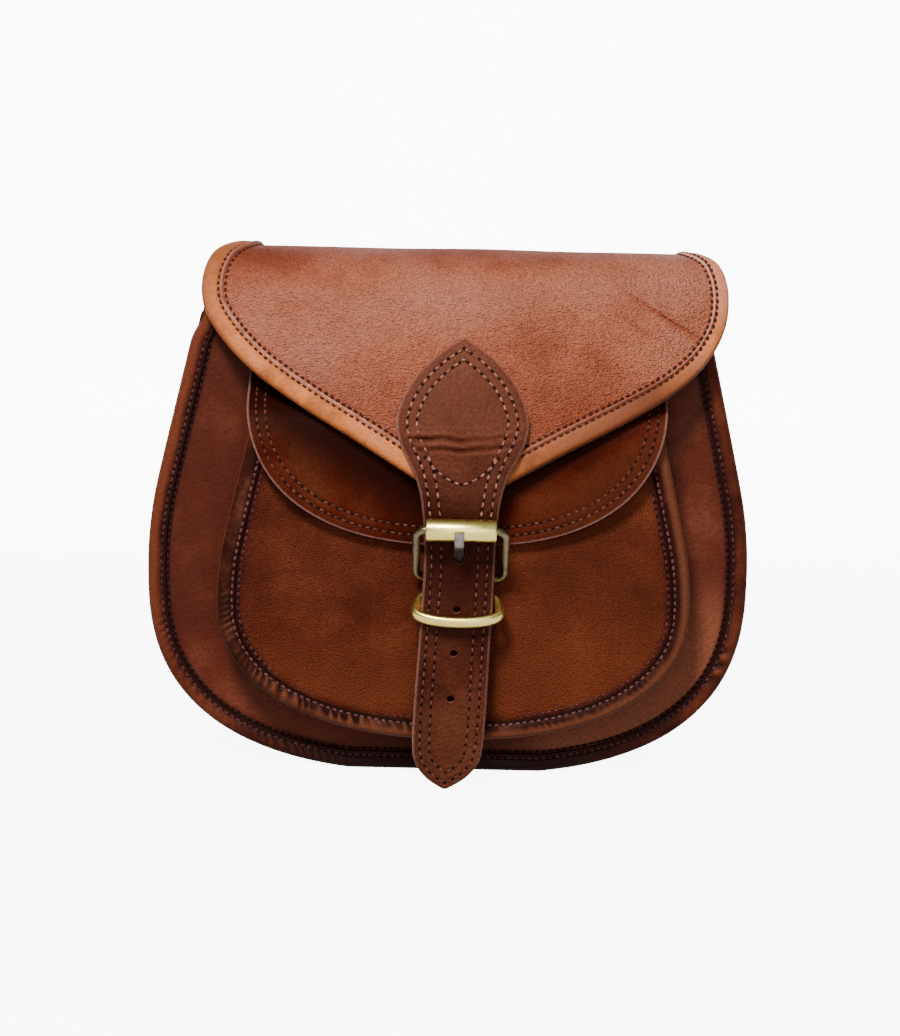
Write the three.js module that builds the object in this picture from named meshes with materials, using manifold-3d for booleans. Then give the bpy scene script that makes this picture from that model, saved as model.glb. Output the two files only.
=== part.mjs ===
// A leather crossbody saddle bag, buckled shut and standing on its base.
// Millimetres, +Z up, the front facing -Y. The origin is the bottom centre of the bag's box.

import * as THREE from "three";
import { mergeVertices } from "three/addons/utils/BufferGeometryUtils.js";
import Module from "manifold-3d";

const wasm = await Module();
wasm.setup();

// Driving dimensions

const GAP = 0.3; // between pieces that touch
const PANEL = 1.8; // leather of the panels and gussets
const BINDING = 1.2; // thinner leather of the edge bindings
const FLAP = 2.2; // leather of the main flap
const POCKET_FLAP = 2.0;
const STRAP = 3.0; // two layers sewn together

const HALF_DEPTH_BASE = 26; // half the pouch's depth at the floor
const HALF_DEPTH_TOP = 18; // and at its mouth
const GUSSET_BOW = 5; // how far the gusset folds in along its middle

// The pouch and the pocket are both a D standing on its round side.
const BODY = {
  half: 115.9,
  widestZ: 79,
  bottomZ: -1.6,
  topZ: 180,
  middleZ: 90,
  power: 2.62,
  sideLean: THREE.MathUtils.degToRad(13),
  sideRadius: 155,
  bindingWidth: 7.2,
  web: 9.2,
};
const POCKET = {
  half: 90,
  widestZ: 69,
  bottomZ: 16.6,
  topZ: 138,
  middleZ: 72,
  power: 2.25,
  sideLean: THREE.MathUtils.degToRad(13),
  sideRadius: 120,
  bindingWidth: 5.8,
  web: 7.6,
  depth: 16,
  dome: 4,
  shift: 2.5,
};
const FRONT_TOP_Z = 176; // the front panel stops a little short of the back
const BACK_DOME = 3;

// Gathered stretches of a binding, as shares of its length from the left end.
const BODY_GATHERS = [
  { from: 0.29, to: 0.41, pleats: 7, height: 0.35 },
  { from: 0.62, to: 0.69, pleats: 4, height: 0.35 },
];
const POCKET_GATHERS = [
  { from: 0.25, to: 0.45, pleats: 11, height: 0.4 },
  { from: 0.58, to: 0.68, pleats: 5, height: 0.3 },
];

// The main flap: its middle line from the seam on the back, over the top, down to the point,
// and its half width at each distance down that line.
const FLAP_LINE = [
  { y: 23.8, z: 158 },
  { y: 23.4, z: 178 },
  { y: 20.2, z: 191 },
  { y: 10, z: 198.2 },
  { y: -4, z: 199.6 },
  { y: -17, z: 196.2 },
  { y: -25.4, z: 188 },
  { y: -31.6, z: 176 },
  { y: -39.6, z: 158 },
  { y: -46.8, z: 138 },
  { y: -51.4, z: 118 },
  { y: -52.9, z: 104 },
];
const FLAP_EDGE = [
  { down: 0, half: 84 },
  { down: 30, half: 85.5 },
  { down: 55, half: 89.6 },
  { down: 72, half: 97 },
  { down: 86, half: 99.9 },
  { down: 99, half: 98.4 },
  { down: 111.6, half: 91.3 },
  { down: 123, half: 80 },
  { down: 135.2, half: 62 },
  { down: 148.2, half: 39 },
  { down: 160, half: 18.6 },
  { down: 167, half: 6.8 },
];
const FLAP_TIP_DOWN = 169;
const FLAP_SKEW = 0.033; // its point was cut and sewn turned a little clockwise
const FLAP_BINDING_WIDTH = 8.2;
const FLAP_BINDING_GAP = 0.5; // the roll stands a little off the flap
const FLAP_SHIFT = 4.4; // the flap and strap sit a little right of the pouch's middle
const WING_WRAP = 6; // how far the flap's corners curl back round the pouch
const TAIL_PRESS = 1.9; // how far the seam pulls the middle of its end against the back
const WING_CREASE = { x: 76, down: 104, long: 17, wide: 4, deep: 0.8, slant: -0.75 };

// The pocket flap, its line measured out from the front panel.
const POCKET_FLAP_LINE = [
  { out: 1.4, z: 166 },
  { out: 5, z: 153 },
  { out: 14, z: 145.5 },
  { out: 21.6, z: 138.6 },
  { out: 24.2, z: 128 },
  { out: 24.8, z: 110 },
  { out: 24.4, z: 93 },
];
const POCKET_FLAP_HALF = 79;
const POCKET_FLAP_STRAIGHT = 24; // length of its straight sides
const POCKET_FLAP_POWER = 2.45;
const POCKET_FLAP_SHIFT = 2.3;

// The closure strap: its middle line, and its half width down from the spade's tip and up from its tail.
const STRAP_LINE = [
  { y: -38, z: 169.6 },
  { y: -43.4, z: 157 },
  { y: -51.1, z: 138.6 },
  { y: -56.7, z: 118.4 },
  { y: -57.8, z: 109 },
  { y: -56, z: 101.6 },
  { y: -53.9, z: 92 },
  { y: -53.5, z: 81 },
  { y: -53.8, z: 67 },
  { y: -53.6, z: 40 },
  { y: -52.4, z: 0.4 },
];
const SPADE = [
  { down: 0, half: 0.8 },
  { down: 5.3, half: 8.3 },
  { down: 11, half: 14.3 },
  { down: 17, half: 18.9 },
  { down: 24, half: 22.3 },
  { down: 31.7, half: 24.2 },
  { down: 39, half: 23.2 },
  { down: 45.4, half: 20.4 },
  { down: 51.2, half: 17.4 },
  { down: 58, half: 15.2 },
  { down: 66, half: 13.9 },
  { down: 80, half: 13.1 },
];
const TAIL = [
  { up: 17, half: 13.1 },
  { up: 11.5, half: 12.2 },
  { up: 7.5, half: 10.3 },
  { up: 4, half: 7.1 },
  { up: 1.3, half: 3.2 },
  { up: 0, half: 0.8 },
];
const TAIL_LEAN = { fromZ: 84, shift: -3.7 }; // the loose tail swings left below the keeper
const HOLE_RADIUS = 1.7;
const HOLE_Z = [70.3, 53.5, 35.8];
const PRONG_SLOT = { z: 90.1, half: 2.5, high: 10.6 };

// Brass hardware
const HARDWARE_SHIFT = 4.8;
const BUCKLE = {
  wire: 1.3,
  half: 16.6,
  corner: 4,
  pivot: { y: -48, z: 80.9 },
  bar: { y: -62.3, z: 101.6 },
};
const ROLLER = { radius: 4.2, half: 13 };
const PRONG = { thick: 2.2, half: 1.8, eye: 2.9, shift: -0.7 };
const PRONG_LINE = [
  { y: -49.4, z: 82.8 },
  { y: -53.2, z: 89.6 },
  { y: -59.6, z: 93.8 },
  { y: -66.8, z: 97 },
  { y: -68.2, z: 101.8 },
];
const KEEPER = {
  wire: 1.7,
  half: 15.7,
  corner: 4,
  bowed: 5,
  shift: -0.6,
  back: { y: -48.2, z: 73.6 },
  front: { y: -59.3, z: 66.2 },
};
const CHAPE = { half: 11, layer: 1.6, keeperLayer: 1.3, tailZ: 48, slot: 2.9 };
const STRAP_LOOP = { wide: 16, wall: 1.6, gap: 6, high: 22, tail: 14, seat: 10.2, share: 0.012 };

// Triangles: stations along a seam and across a sheet
const SEAM_STEPS = 38;
const SIDE_SHARE = 0.2; // the nearly straight ends of a seam take half as many
const SHEET_ROWS = 24;
const SHEET_COLUMNS = 10;
const WIRE_SIDES = 8;

const LEATHER = { color: 0x7a3a1f, roughness: 0.55, metalness: 0 };
const DARK_LEATHER = { color: 0x4b2214, roughness: 0.5, metalness: 0 };
const TAN_LEATHER = { color: 0xc08050, roughness: 0.5, metalness: 0 };
const BRASS = { color: 0xc9b27a, roughness: 0.3, metalness: 1 };

// Solids from points

// A closed solid from points and triangles, turned to face out.
function solid(points, triangles) {
  let volume = 0;
  for (const [a, b, c] of triangles) {
    volume += points[a].dot(points[b].clone().cross(points[c]));
  }
  const faces = volume < 0 ? triangles.map(([a, b, c]) => [a, c, b]) : triangles;
  const geometry = new THREE.BufferGeometry().setFromPoints(points);
  geometry.setIndex(faces.flat());
  return geometry;
}

function quad(a, b, c, d) {
  return [
    [a, b, c],
    [a, c, d],
  ];
}

// A sheet of leather: rows of points on its middle surface, with half its thickness to each side.
function sheet(rows, thickness) {
  const high = rows.length;
  const wide = rows[0].length;
  const clampedStep = (list, i, of) => {
    const after = of(list[Math.min(i + 1, list.length - 1)]);
    return after.clone().sub(of(list[Math.max(i - 1, 0)]));
  };
  const normals = rows.map((row, i) =>
    row.map((_, j) => {
      const along = clampedStep(rows, i, (r) => r[j]);
      const across = clampedStep(row, j, (p) => p);
      return across.cross(along).normalize();
    }),
  );
  const points = [];
  for (const side of [0.5, -0.5]) {
    rows.forEach((row, i) =>
      row.forEach((p, j) => points.push(p.clone().addScaledVector(normals[i][j], side * thickness))),
    );
  }
  const at = (i, j, back) => back * high * wide + i * wide + j;
  const triangles = [];
  for (let i = 0; i + 1 < high; i++) {
    for (let j = 0; j + 1 < wide; j++) {
      triangles.push(...quad(at(i, j, 0), at(i + 1, j, 0), at(i + 1, j + 1, 0), at(i, j + 1, 0)));
      triangles.push(...quad(at(i, j, 1), at(i, j + 1, 1), at(i + 1, j + 1, 1), at(i + 1, j, 1)));
    }
  }
  const rim = [];
  for (let j = 0; j < wide - 1; j++) rim.push([0, j]);
  for (let i = 0; i < high - 1; i++) rim.push([i, wide - 1]);
  for (let j = wide - 1; j > 0; j--) rim.push([high - 1, j]);
  for (let i = high - 1; i > 0; i--) rim.push([i, 0]);
  rim.forEach(([i, j], k) => {
    const [ni, nj] = rim[(k + 1) % rim.length];
    triangles.push(...quad(at(i, j, 0), at(ni, nj, 0), at(ni, nj, 1), at(i, j, 1)));
  });
  return solid(points, triangles);
}

// A band: sections carried along a path, with capped ends, or closed on itself if there is no cap.
function band(sections, cap) {
  const size = sections[0].length;
  const points = sections.flat();
  const triangles = [];
  const spans = cap ? sections.length - 1 : sections.length;
  for (let i = 0; i < spans; i++) {
    const here = i * size;
    const next = ((i + 1) % sections.length) * size;
    for (let j = 0; j < size; j++) {
      const k = (j + 1) % size;
      triangles.push(...quad(here + j, next + j, next + k, here + k));
    }
  }
  if (cap) {
    const last = (sections.length - 1) * size;
    const turns = !THREE.ShapeUtils.isClockWise(cap);
    for (const [a, b, c] of THREE.ShapeUtils.triangulateShape(cap, [])) {
      const start = turns ? [a, b, c] : [a, c, b];
      triangles.push(start);
      triangles.push([last + start[0], last + start[2], last + start[1]]);
    }
  }
  return solid(points, triangles);
}

// A panel filled from its edge inwards: rings of points, then one middle point, thickened along Y.
function panel(rings, middle, thickness) {
  const size = rings[0].length;
  const face = [...rings.flat(), middle];
  const back = face.length;
  const points = [...face, ...face.map((p) => p.clone().add(new THREE.Vector3(0, thickness, 0)))];
  const triangles = [];
  rings.forEach((ring, r) => {
    for (let j = 0; j < size; j++) {
      const k = (j + 1) % size;
      const here = r * size;
      const inner = here + size;
      if (r + 1 < rings.length) {
        triangles.push(...quad(here + j, here + k, inner + k, inner + j));
        triangles.push(...quad(back + here + j, back + inner + j, back + inner + k, back + here + k));
      } else {
        triangles.push([here + j, here + k, inner]);
        triangles.push([back + here + j, back + inner, back + here + k]);
      }
      if (r === 0) triangles.push(...quad(j, back + j, back + k, k));
    }
  });
  return solid(points, triangles);
}

// The closed outline of a strip seen edge on: a line of 2D points with half the thickness to each side.
function ribbon(line, thickness) {
  const edge = (sign) =>
    line.map((p, i) => {
      const before = p.clone().sub(line[Math.max(i - 1, 0)]).normalize();
      const after = line[Math.min(i + 1, line.length - 1)].clone().sub(p).normalize();
      const a = i === 0 ? after : before;
      const b = i === line.length - 1 ? before : after;
      const mitre = new THREE.Vector2(-a.y - b.y, a.x + b.x).divideScalar(1 + a.dot(b));
      return p.clone().addScaledVector(mitre, (sign * thickness) / 2);
    });
  return [...edge(1), ...edge(-1).reverse()];
}

// A round wire bent along a closed flat path, in the plane of X and the line between two bars.
function wireLoop(path, wire, barA, barB) {
  const low = new THREE.Vector3(0, barA.y, barA.z);
  const side = new THREE.Vector3(1, 0, 0);
  const up = new THREE.Vector3(0, barB.y, barB.z).sub(low).normalize();
  const through = side.clone().cross(up);
  const sections = path.map((p, i) => {
    const along = path[(i + 1) % path.length].clone().sub(path.at(i - 1)).normalize();
    const out = side.clone().multiplyScalar(along.y).addScaledVector(up, -along.x);
    const spine = low.clone().addScaledVector(side, p.x).addScaledVector(up, p.y);
    const section = [];
    for (let k = 0; k < WIRE_SIDES; k++) {
      const around = (k / WIRE_SIDES) * 2 * Math.PI;
      const point = spine.clone().addScaledVector(out, wire * Math.cos(around));
      section.push(point.addScaledVector(through, wire * Math.sin(around)));
    }
    return section;
  });
  return band(sections, null);
}

// Points of an arc, ends included.
function arcPoints(x, y, radiusX, radiusY, from, to, steps) {
  return new THREE.EllipseCurve(x, y, radiusX, radiusY, from, to).getPoints(steps);
}

// The buckle's frame: a rounded rectangle from its pivot bar up to its roller bar.
function buckleFrame() {
  const { wire, half, corner, pivot, bar } = BUCKLE;
  const high = Math.hypot(bar.y - pivot.y, bar.z - pivot.z);
  const turn = Math.PI / 2;
  const path = [
    ...arcPoints(corner - half, corner, corner, corner, 2 * turn, 3 * turn, 4),
    ...arcPoints(half - corner, corner, corner, corner, 3 * turn, 4 * turn, 4),
    ...arcPoints(half - corner, high - corner, corner, corner, 0, turn, 4),
    ...arcPoints(corner - half, high - corner, corner, corner, turn, 2 * turn, 4),
  ];
  return wireLoop(path, wire, pivot, bar);
}

// The keeper: straight along the back, bowed along the front.
function keeperLoop() {
  const { wire, half, corner, bowed, shift, back, front } = KEEPER;
  const deep = Math.hypot(front.y - back.y, front.z - back.z);
  const turn = Math.PI / 2;
  const path = [
    ...arcPoints(corner - half, deep - bowed, corner, deep - bowed, 2 * turn, 3 * turn, 5),
    ...arcPoints(half - corner, deep - bowed, corner, deep - bowed, 3 * turn, 4 * turn, 5),
    ...arcPoints(0, deep - bowed, half, bowed, 0, 2 * turn, 14).slice(1, -1),
  ];
  return wireLoop(path, wire, back, front).translate(shift, 0, 0);
}

// A profile in the YZ plane, extruded to both sides of x = 0.
function acrossX(shape, half) {
  const geometry = new THREE.ExtrudeGeometry(shape, { depth: 2 * half, bevelEnabled: false, curveSegments: 6 });
  geometry.translate(0, 0, -half);
  const [x, y, z] = [new THREE.Vector3(1, 0, 0), new THREE.Vector3(0, 1, 0), new THREE.Vector3(0, 0, 1)];
  return geometry.applyMatrix4(new THREE.Matrix4().makeBasis(y, z, x));
}

// Joining and cutting
function toManifold(geometry) {
  const bare = geometry.clone();
  bare.deleteAttribute("normal");
  bare.deleteAttribute("uv");
  const merged = mergeVertices(bare, 1e-4);
  return new wasm.Manifold(
    new wasm.Mesh({
      numProp: 3,
      vertProperties: merged.attributes.position.array,
      triVerts: new Uint32Array(merged.index.array),
    }),
  );
}

function fromManifold(made) {
  const mesh = made.getMesh();
  const geometry = new THREE.BufferGeometry();
  geometry.setAttribute("position", new THREE.BufferAttribute(mesh.vertProperties, 3));
  geometry.setIndex(new THREE.BufferAttribute(mesh.triVerts, 1));
  return geometry;
}

function cut(geometry, ...tools) {
  return fromManifold(tools.reduce((left, tool) => left.subtract(toManifold(tool)), toManifold(geometry)));
}

function join(...geometries) {
  return fromManifold(geometries.map(toManifold).reduce((all, one) => all.add(one)));
}

// The pouch's outline and depth

function halfDepth(z) {
  return HALF_DEPTH_BASE + ((HALF_DEPTH_TOP - HALF_DEPTH_BASE) * z) / BODY.topZ;
}

// The right half of a D, from its top corner down to the middle of its bottom.
function halfOutline({ half, widestZ, bottomZ, topZ, power, sideLean, sideRadius }) {
  const points = [];
  const arcTop = widestZ + sideRadius * Math.sin(sideLean);
  const arcX = half - sideRadius * (1 - Math.cos(sideLean));
  points.push(new THREE.Vector2(arcX - (topZ - arcTop) * Math.tan(sideLean), topZ));
  for (let angle = 1; angle > 0; angle -= 0.25) {
    const a = angle * sideLean;
    points.push(new THREE.Vector2(half - sideRadius * (1 - Math.cos(a)), widestZ + sideRadius * Math.sin(a)));
  }
  const steps = 14;
  for (let i = 0; i <= steps; i++) {
    const a = (i / steps) * (Math.PI / 2);
    const x = half * Math.max(Math.cos(a), 0) ** (2 / power);
    const z = widestZ - (widestZ - bottomZ) * Math.sin(a) ** (2 / power);
    points.push(new THREE.Vector2(x, z));
  }
  return points;
}

// The whole D as a curve from its top left corner, round the bottom, to its top right corner.
function outlineCurve(shape) {
  const right = halfOutline(shape);
  const left = right.slice(0, -1).map((p) => new THREE.Vector2(-p.x, p.y));
  return new THREE.SplineCurve([...left, ...right.reverse()]);
}

// A place on the outline: the point, flattened on the floor, and the direction out of the D.
function station(curve, share) {
  const grounded = (t) => {
    const p = curve.getPointAt(THREE.MathUtils.clamp(t, 0, 1));
    return p.setY(Math.max(p.y, 0));
  };
  const step = 0.002;
  const along = grounded(share + step).sub(grounded(share - step)).normalize();
  return { share, point: grounded(share), out: new THREE.Vector2(along.y, -along.x) };
}

// Evenly spaced stations, with two more for each pleat of a gathered stretch.
function stations(curve, steps, gathers = []) {
  const shares = [];
  for (let i = 0; i <= steps; i++) {
    const share = i / steps;
    const onSide = share < SIDE_SHARE || share > 1 - SIDE_SHARE;
    if (onSide && i % 2 === 1) continue;
    if (!gathers.some((g) => share > g.from && share < g.to)) shares.push(share);
  }
  for (const { from, to, pleats } of gathers) {
    for (let k = 0; k <= 2 * pleats; k++) shares.push(from + ((to - from) * k) / (2 * pleats));
  }
  return shares.sort((a, b) => a - b).map((share) => station(curve, share));
}

// Ridges and valleys of the gathers at a share of the seam.
function pleatHeight(gathers, share) {
  const row = gathers.find((g) => share >= g.from && share <= g.to);
  if (!row) return 0;
  return row.height * Math.cos((2 * Math.PI * row.pleats * (share - row.from)) / (row.to - row.from));
}

// A point d inside the outline at a station.
function inside({ point, out }, d) {
  return point.clone().addScaledVector(out, -d);
}

// Panels sewn at their edge

// Rings of a panel: its edge, the seam, then inwards to the middle, raised by a dome.
function panelRings(shape, topZ, faceY, dome) {
  const edge = [];
  const seam = [];
  const edgeInset = BINDING + GAP;
  for (const place of stations(outlineCurve(shape), SEAM_STEPS)) {
    edge.push(inside(place, edgeInset));
    seam.push(inside(place, shape.web));
  }
  const hemDrop = 4;
  for (const ring of [edge, seam]) ring.forEach((p) => p.setY(Math.min(p.y, topZ)));
  const topSteps = 6;
  const [topLeft, topRight] = [edge[0], edge[edge.length - 1]];
  for (let i = 1; i < topSteps; i++) {
    const top = topRight.clone().lerp(topLeft, i / topSteps);
    edge.push(top);
    seam.push(new THREE.Vector2(top.x * (1 - shape.web / shape.half), top.y - hemDrop));
  }
  seam[0].y -= hemDrop;
  seam[edge.indexOf(topRight)].y -= hemDrop;
  const shift = shape.shift ?? 0;
  const middle = new THREE.Vector2(0, shape.middleZ);
  const place = (p, lift) => new THREE.Vector3(p.x + shift, faceY(p.y, lift), p.y);
  const rings = [edge.map((p) => place(p, 0)), seam.map((p) => place(p, 0))];
  for (const share of dome ? [0.7, 0.38] : []) {
    const lift = dome * (1 - share * share);
    rings.push(seam.map((p) => place(middle.clone().lerp(p, share), lift)));
  }
  return { rings, middle: place(middle, dome) };
}

function frontPanel() {
  const faceY = (z) => -halfDepth(z);
  const { rings, middle } = panelRings(BODY, FRONT_TOP_Z, faceY, 0);
  return panel(rings, middle, PANEL);
}

function backPanel() {
  const faceY = (z, lift) => halfDepth(z) - PANEL + lift;
  const { rings, middle } = panelRings(BODY, BODY.topZ, faceY, BACK_DOME);
  return panel(rings, middle, PANEL);
}

function pocketFront() {
  const faceY = (z, lift) => -(halfDepth(z) + POCKET.depth + PANEL + lift);
  const { rings, middle } = panelRings(POCKET, POCKET.topZ, faceY, POCKET.dome);
  return panel(rings, middle, PANEL);
}

// Gussets and bindings carried round the outline

// The pouch's gusset: flanges on both panels and a web between them that folds in.
function gusset() {
  const flange = HALF_DEPTH_BASE - PANEL - GAP - PANEL / 2;
  const line = [
    new THREE.Vector2(BINDING + 2 * GAP, -flange),
    new THREE.Vector2(BODY.web, -flange),
    new THREE.Vector2(BODY.web + GUSSET_BOW, 0),
    new THREE.Vector2(BODY.web, flange),
    new THREE.Vector2(BINDING + 2 * GAP, flange),
  ];
  const section = ribbon(line, PANEL);
  const narrowing = (y, z) => {
    const share = THREE.MathUtils.clamp(Math.abs(y) / (flange - PANEL), 0, 1);
    return y + Math.sign(y) * share * (halfDepth(z) - HALF_DEPTH_BASE);
  };
  const sections = stations(outlineCurve(BODY), SEAM_STEPS).map((place) =>
    section.map((s) => {
      const p = inside(place, s.x);
      return new THREE.Vector3(p.x, narrowing(s.y, p.y), p.y);
    }),
  );
  return band(sections, section);
}

// The pocket's gusset: a flange behind the pocket's front, a web back to the pouch, and a sewn-in foot.
function pocketGusset() {
  const flange = POCKET.depth - GAP - PANEL / 2;
  const foot = GAP + PANEL / 2;
  const footWidth = 7;
  const line = [
    new THREE.Vector2(BINDING + 2 * GAP, flange),
    new THREE.Vector2(POCKET.web, flange),
    new THREE.Vector2(POCKET.web + 1, (flange + foot) / 2),
    new THREE.Vector2(POCKET.web, foot),
    new THREE.Vector2(POCKET.web + footWidth, foot),
  ];
  const section = ribbon(line, PANEL);
  return band(carriedOnFront(section, stations(outlineCurve(POCKET), SEAM_STEPS)), section);
}

// Sections in front of the pouch: x is the distance inside the pocket's outline, y the distance out.
function carriedOnFront(section, places) {
  return places.map((place) =>
    section.map((s) => {
      const p = inside(place, s.x);
      return new THREE.Vector3(p.x + POCKET.shift, -(halfDepth(p.y) + s.y), p.y);
    }),
  );
}

// A binding's section: folded over a panel's face at `face` and the gusset's flange behind it.
function bindingLine(width, face) {
  const front = face + GAP + BINDING / 2;
  const back = face - 2 * PANEL - 2 * GAP - BINDING / 2;
  const round = 1.3;
  return [
    new THREE.Vector2(width, front),
    new THREE.Vector2(width * 0.5, front),
    new THREE.Vector2(BINDING / 2 + round * 0.4, front),
    new THREE.Vector2(BINDING / 2, front - round),
    new THREE.Vector2(BINDING / 2, back + round),
    new THREE.Vector2(BINDING / 2 + round * 0.4, back),
    new THREE.Vector2(width, back),
  ];
}

// A gathered section: the sewn half of its outer face rises and falls with the pleats.
function gathered(line, lift) {
  return ribbon(
    line.map((p, i) => (i < 2 ? new THREE.Vector2(p.x, p.y + Math.max(lift, 0) * (i === 0 ? 0.4 : 1)) : p)),
    BINDING,
  );
}

function bodyBinding(side, gathers) {
  const line = bindingLine(BODY.bindingWidth, 0);
  const sections = stations(outlineCurve(BODY), SEAM_STEPS, gathers).map((place) =>
    gathered(line, pleatHeight(gathers, place.share)).map((s) => {
      const p = inside(place, s.x);
      return new THREE.Vector3(p.x, side * (halfDepth(p.y) + s.y), p.y);
    }),
  );
  return band(sections, ribbon(line, BINDING));
}

function pocketBinding() {
  const line = bindingLine(POCKET.bindingWidth, POCKET.depth + PANEL);
  const places = stations(outlineCurve(POCKET), SEAM_STEPS, POCKET_GATHERS);
  const sections = places.map(
    (place) => carriedOnFront(gathered(line, pleatHeight(POCKET_GATHERS, place.share)), [place])[0],
  );
  return band(sections, ribbon(line, BINDING));
}

// The main flap

const flapLine = new THREE.CatmullRomCurve3(FLAP_LINE.map(({ y, z }) => new THREE.Vector3(0, y, z)));
const flapLength = flapLine.getLength();
const skewed = (x, down) => {
  const turned = THREE.MathUtils.smoothstep(down, 78, 118);
  return new THREE.Vector2(x, down + FLAP_SKEW * x * turned);
};
const flapEdge = new THREE.SplineCurve([
  ...FLAP_EDGE.map(({ down, half }) => skewed(-half, down)),
  new THREE.Vector2(0, FLAP_TIP_DOWN),
  ...FLAP_EDGE.map(({ down, half }) => skewed(half, down)).reverse(),
]);

// A long dent pressed into the right corner, running down to the edge.
function creaseDepth(x, down) {
  const { x: cx, down: cd, long, wide, deep, slant } = WING_CREASE;
  const length = Math.hypot(1, slant);
  const along = (x - cx - (down - cd) * slant) / length;
  const across = ((x - cx) * slant + (down - cd)) / length;
  return deep * Math.exp(-((along / long) ** 2) - (across / wide) ** 2);
}

// The flap's flat pattern bent over the bag: x across it, down its middle line.
function flapPoint(x, down) {
  const p = flapLine.getPointAt(THREE.MathUtils.clamp(down / flapLength, 0, 1));
  const overFront = THREE.MathUtils.smoothstep(down, 55, 90);
  const wrap = WING_WRAP * overFront * (Math.abs(x) / 100) ** 3;
  const sewn = 1 - THREE.MathUtils.smoothstep(down, 6, 30);
  const press = TAIL_PRESS * sewn * (1 - THREE.MathUtils.smoothstep(Math.abs(x), 50, 74));
  return new THREE.Vector3(x + FLAP_SHIFT, p.y + wrap - press + creaseDepth(x, down), p.z);
}

function flapNormal(x, down) {
  const step = 0.5;
  const across = flapPoint(x + step, down).sub(flapPoint(x - step, down));
  const along = flapPoint(x, down + step).sub(flapPoint(x, down - step));
  return along.cross(across).normalize();
}

// A place on the flap's edge: its flat point, and the direction out of the pattern.
function flapStation(share) {
  const point = flapEdge.getPointAt(share);
  const along = flapEdge.getTangentAt(share);
  return { point, out: new THREE.Vector2(-along.y, along.x) };
}

// Shares of the flap's edge from its left end to its point, shared by the flap and its binding.
function flapShares() {
  return Array.from({ length: SHEET_ROWS + 1 }, (_, i) => i / SHEET_ROWS / 2);
}

function mainFlap() {
  const inset = BINDING + GAP;
  const rows = flapShares()
    .slice(0, -1)
    .map((share) => {
      const left = inside(flapStation(share), inset);
      const right = inside(flapStation(1 - share), inset);
      const row = [];
      for (let j = 0; j <= SHEET_COLUMNS; j++) {
        const flat = left.clone().lerp(right, j / SHEET_COLUMNS);
        row.push(flapPoint(flat.x, flat.y));
      }
      return row;
    });
  return sheet(rows, FLAP);
}

function flapBinding() {
  const layer = FLAP / 2 + FLAP_BINDING_GAP + BINDING / 2;
  const round = 1;
  const line = [
    new THREE.Vector2(FLAP_BINDING_WIDTH, layer),
    new THREE.Vector2(FLAP_BINDING_WIDTH * 0.4, layer + 0.4),
    new THREE.Vector2(BINDING / 2 + 0.3, layer - round * 0.3),
    new THREE.Vector2(BINDING / 2 - 0.2, 0),
    new THREE.Vector2(BINDING / 2 + 0.3, -layer + round * 0.3),
    new THREE.Vector2(FLAP_BINDING_WIDTH, -layer),
  ];
  const section = ribbon(line, BINDING);
  const shares = flapShares();
  const bothSides = [...shares, ...shares.slice(0, -1).map((share) => 1 - share).reverse()];
  const sections = [];
  for (const share of bothSides) {
    const place = flapStation(share);
    sections.push(
      section.map((s) => {
        const flat = inside(place, s.x);
        return flapPoint(flat.x, flat.y).addScaledVector(flapNormal(flat.x, flat.y), s.y);
      }),
    );
  }
  return band(sections, section);
}

// The pocket flap

function pocketFlap() {
  const line = new THREE.CatmullRomCurve3(
    POCKET_FLAP_LINE.map(({ out, z }) => new THREE.Vector3(0, -(halfDepth(z) + out), z)),
  );
  const length = line.getLength();
  const round = length - POCKET_FLAP_STRAIGHT;
  const rows = [];
  const rowAt = (down, half) => {
    const p = line.getPointAt(Math.min(down / length, 1));
    const row = [];
    for (let j = 0; j <= SHEET_COLUMNS; j++) {
      const x = half * ((2 * j) / SHEET_COLUMNS - 1);
      const sideWrap = 0.8 * (x / POCKET_FLAP_HALF) ** 4 * THREE.MathUtils.smoothstep(down, 30, 50);
      row.push(new THREE.Vector3(x + POCKET_FLAP_SHIFT, p.y + sideWrap, p.z));
    }
    rows.push(row);
  };
  const straightRows = 4;
  for (let i = 0; i < straightRows; i++) rowAt((i / straightRows) * POCKET_FLAP_STRAIGHT, POCKET_FLAP_HALF);
  const roundRows = 12;
  const lastTurn = 0.94 * (Math.PI / 2); // stops short of the quarter turn, where the width would be nil
  for (let i = 0; i <= roundRows; i++) {
    const angle = (i / roundRows) * lastTurn;
    const half = POCKET_FLAP_HALF * Math.cos(angle) ** (2 / POCKET_FLAP_POWER);
    rowAt(POCKET_FLAP_STRAIGHT + round * Math.sin(angle) ** (2 / POCKET_FLAP_POWER), half);
  }
  return sheet(rows, POCKET_FLAP);
}

// The closure strap

function strapShift(z) {
  const drop = Math.max(0, 1 - z / TAIL_LEAN.fromZ);
  return FLAP_SHIFT + TAIL_LEAN.shift * drop;
}

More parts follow.
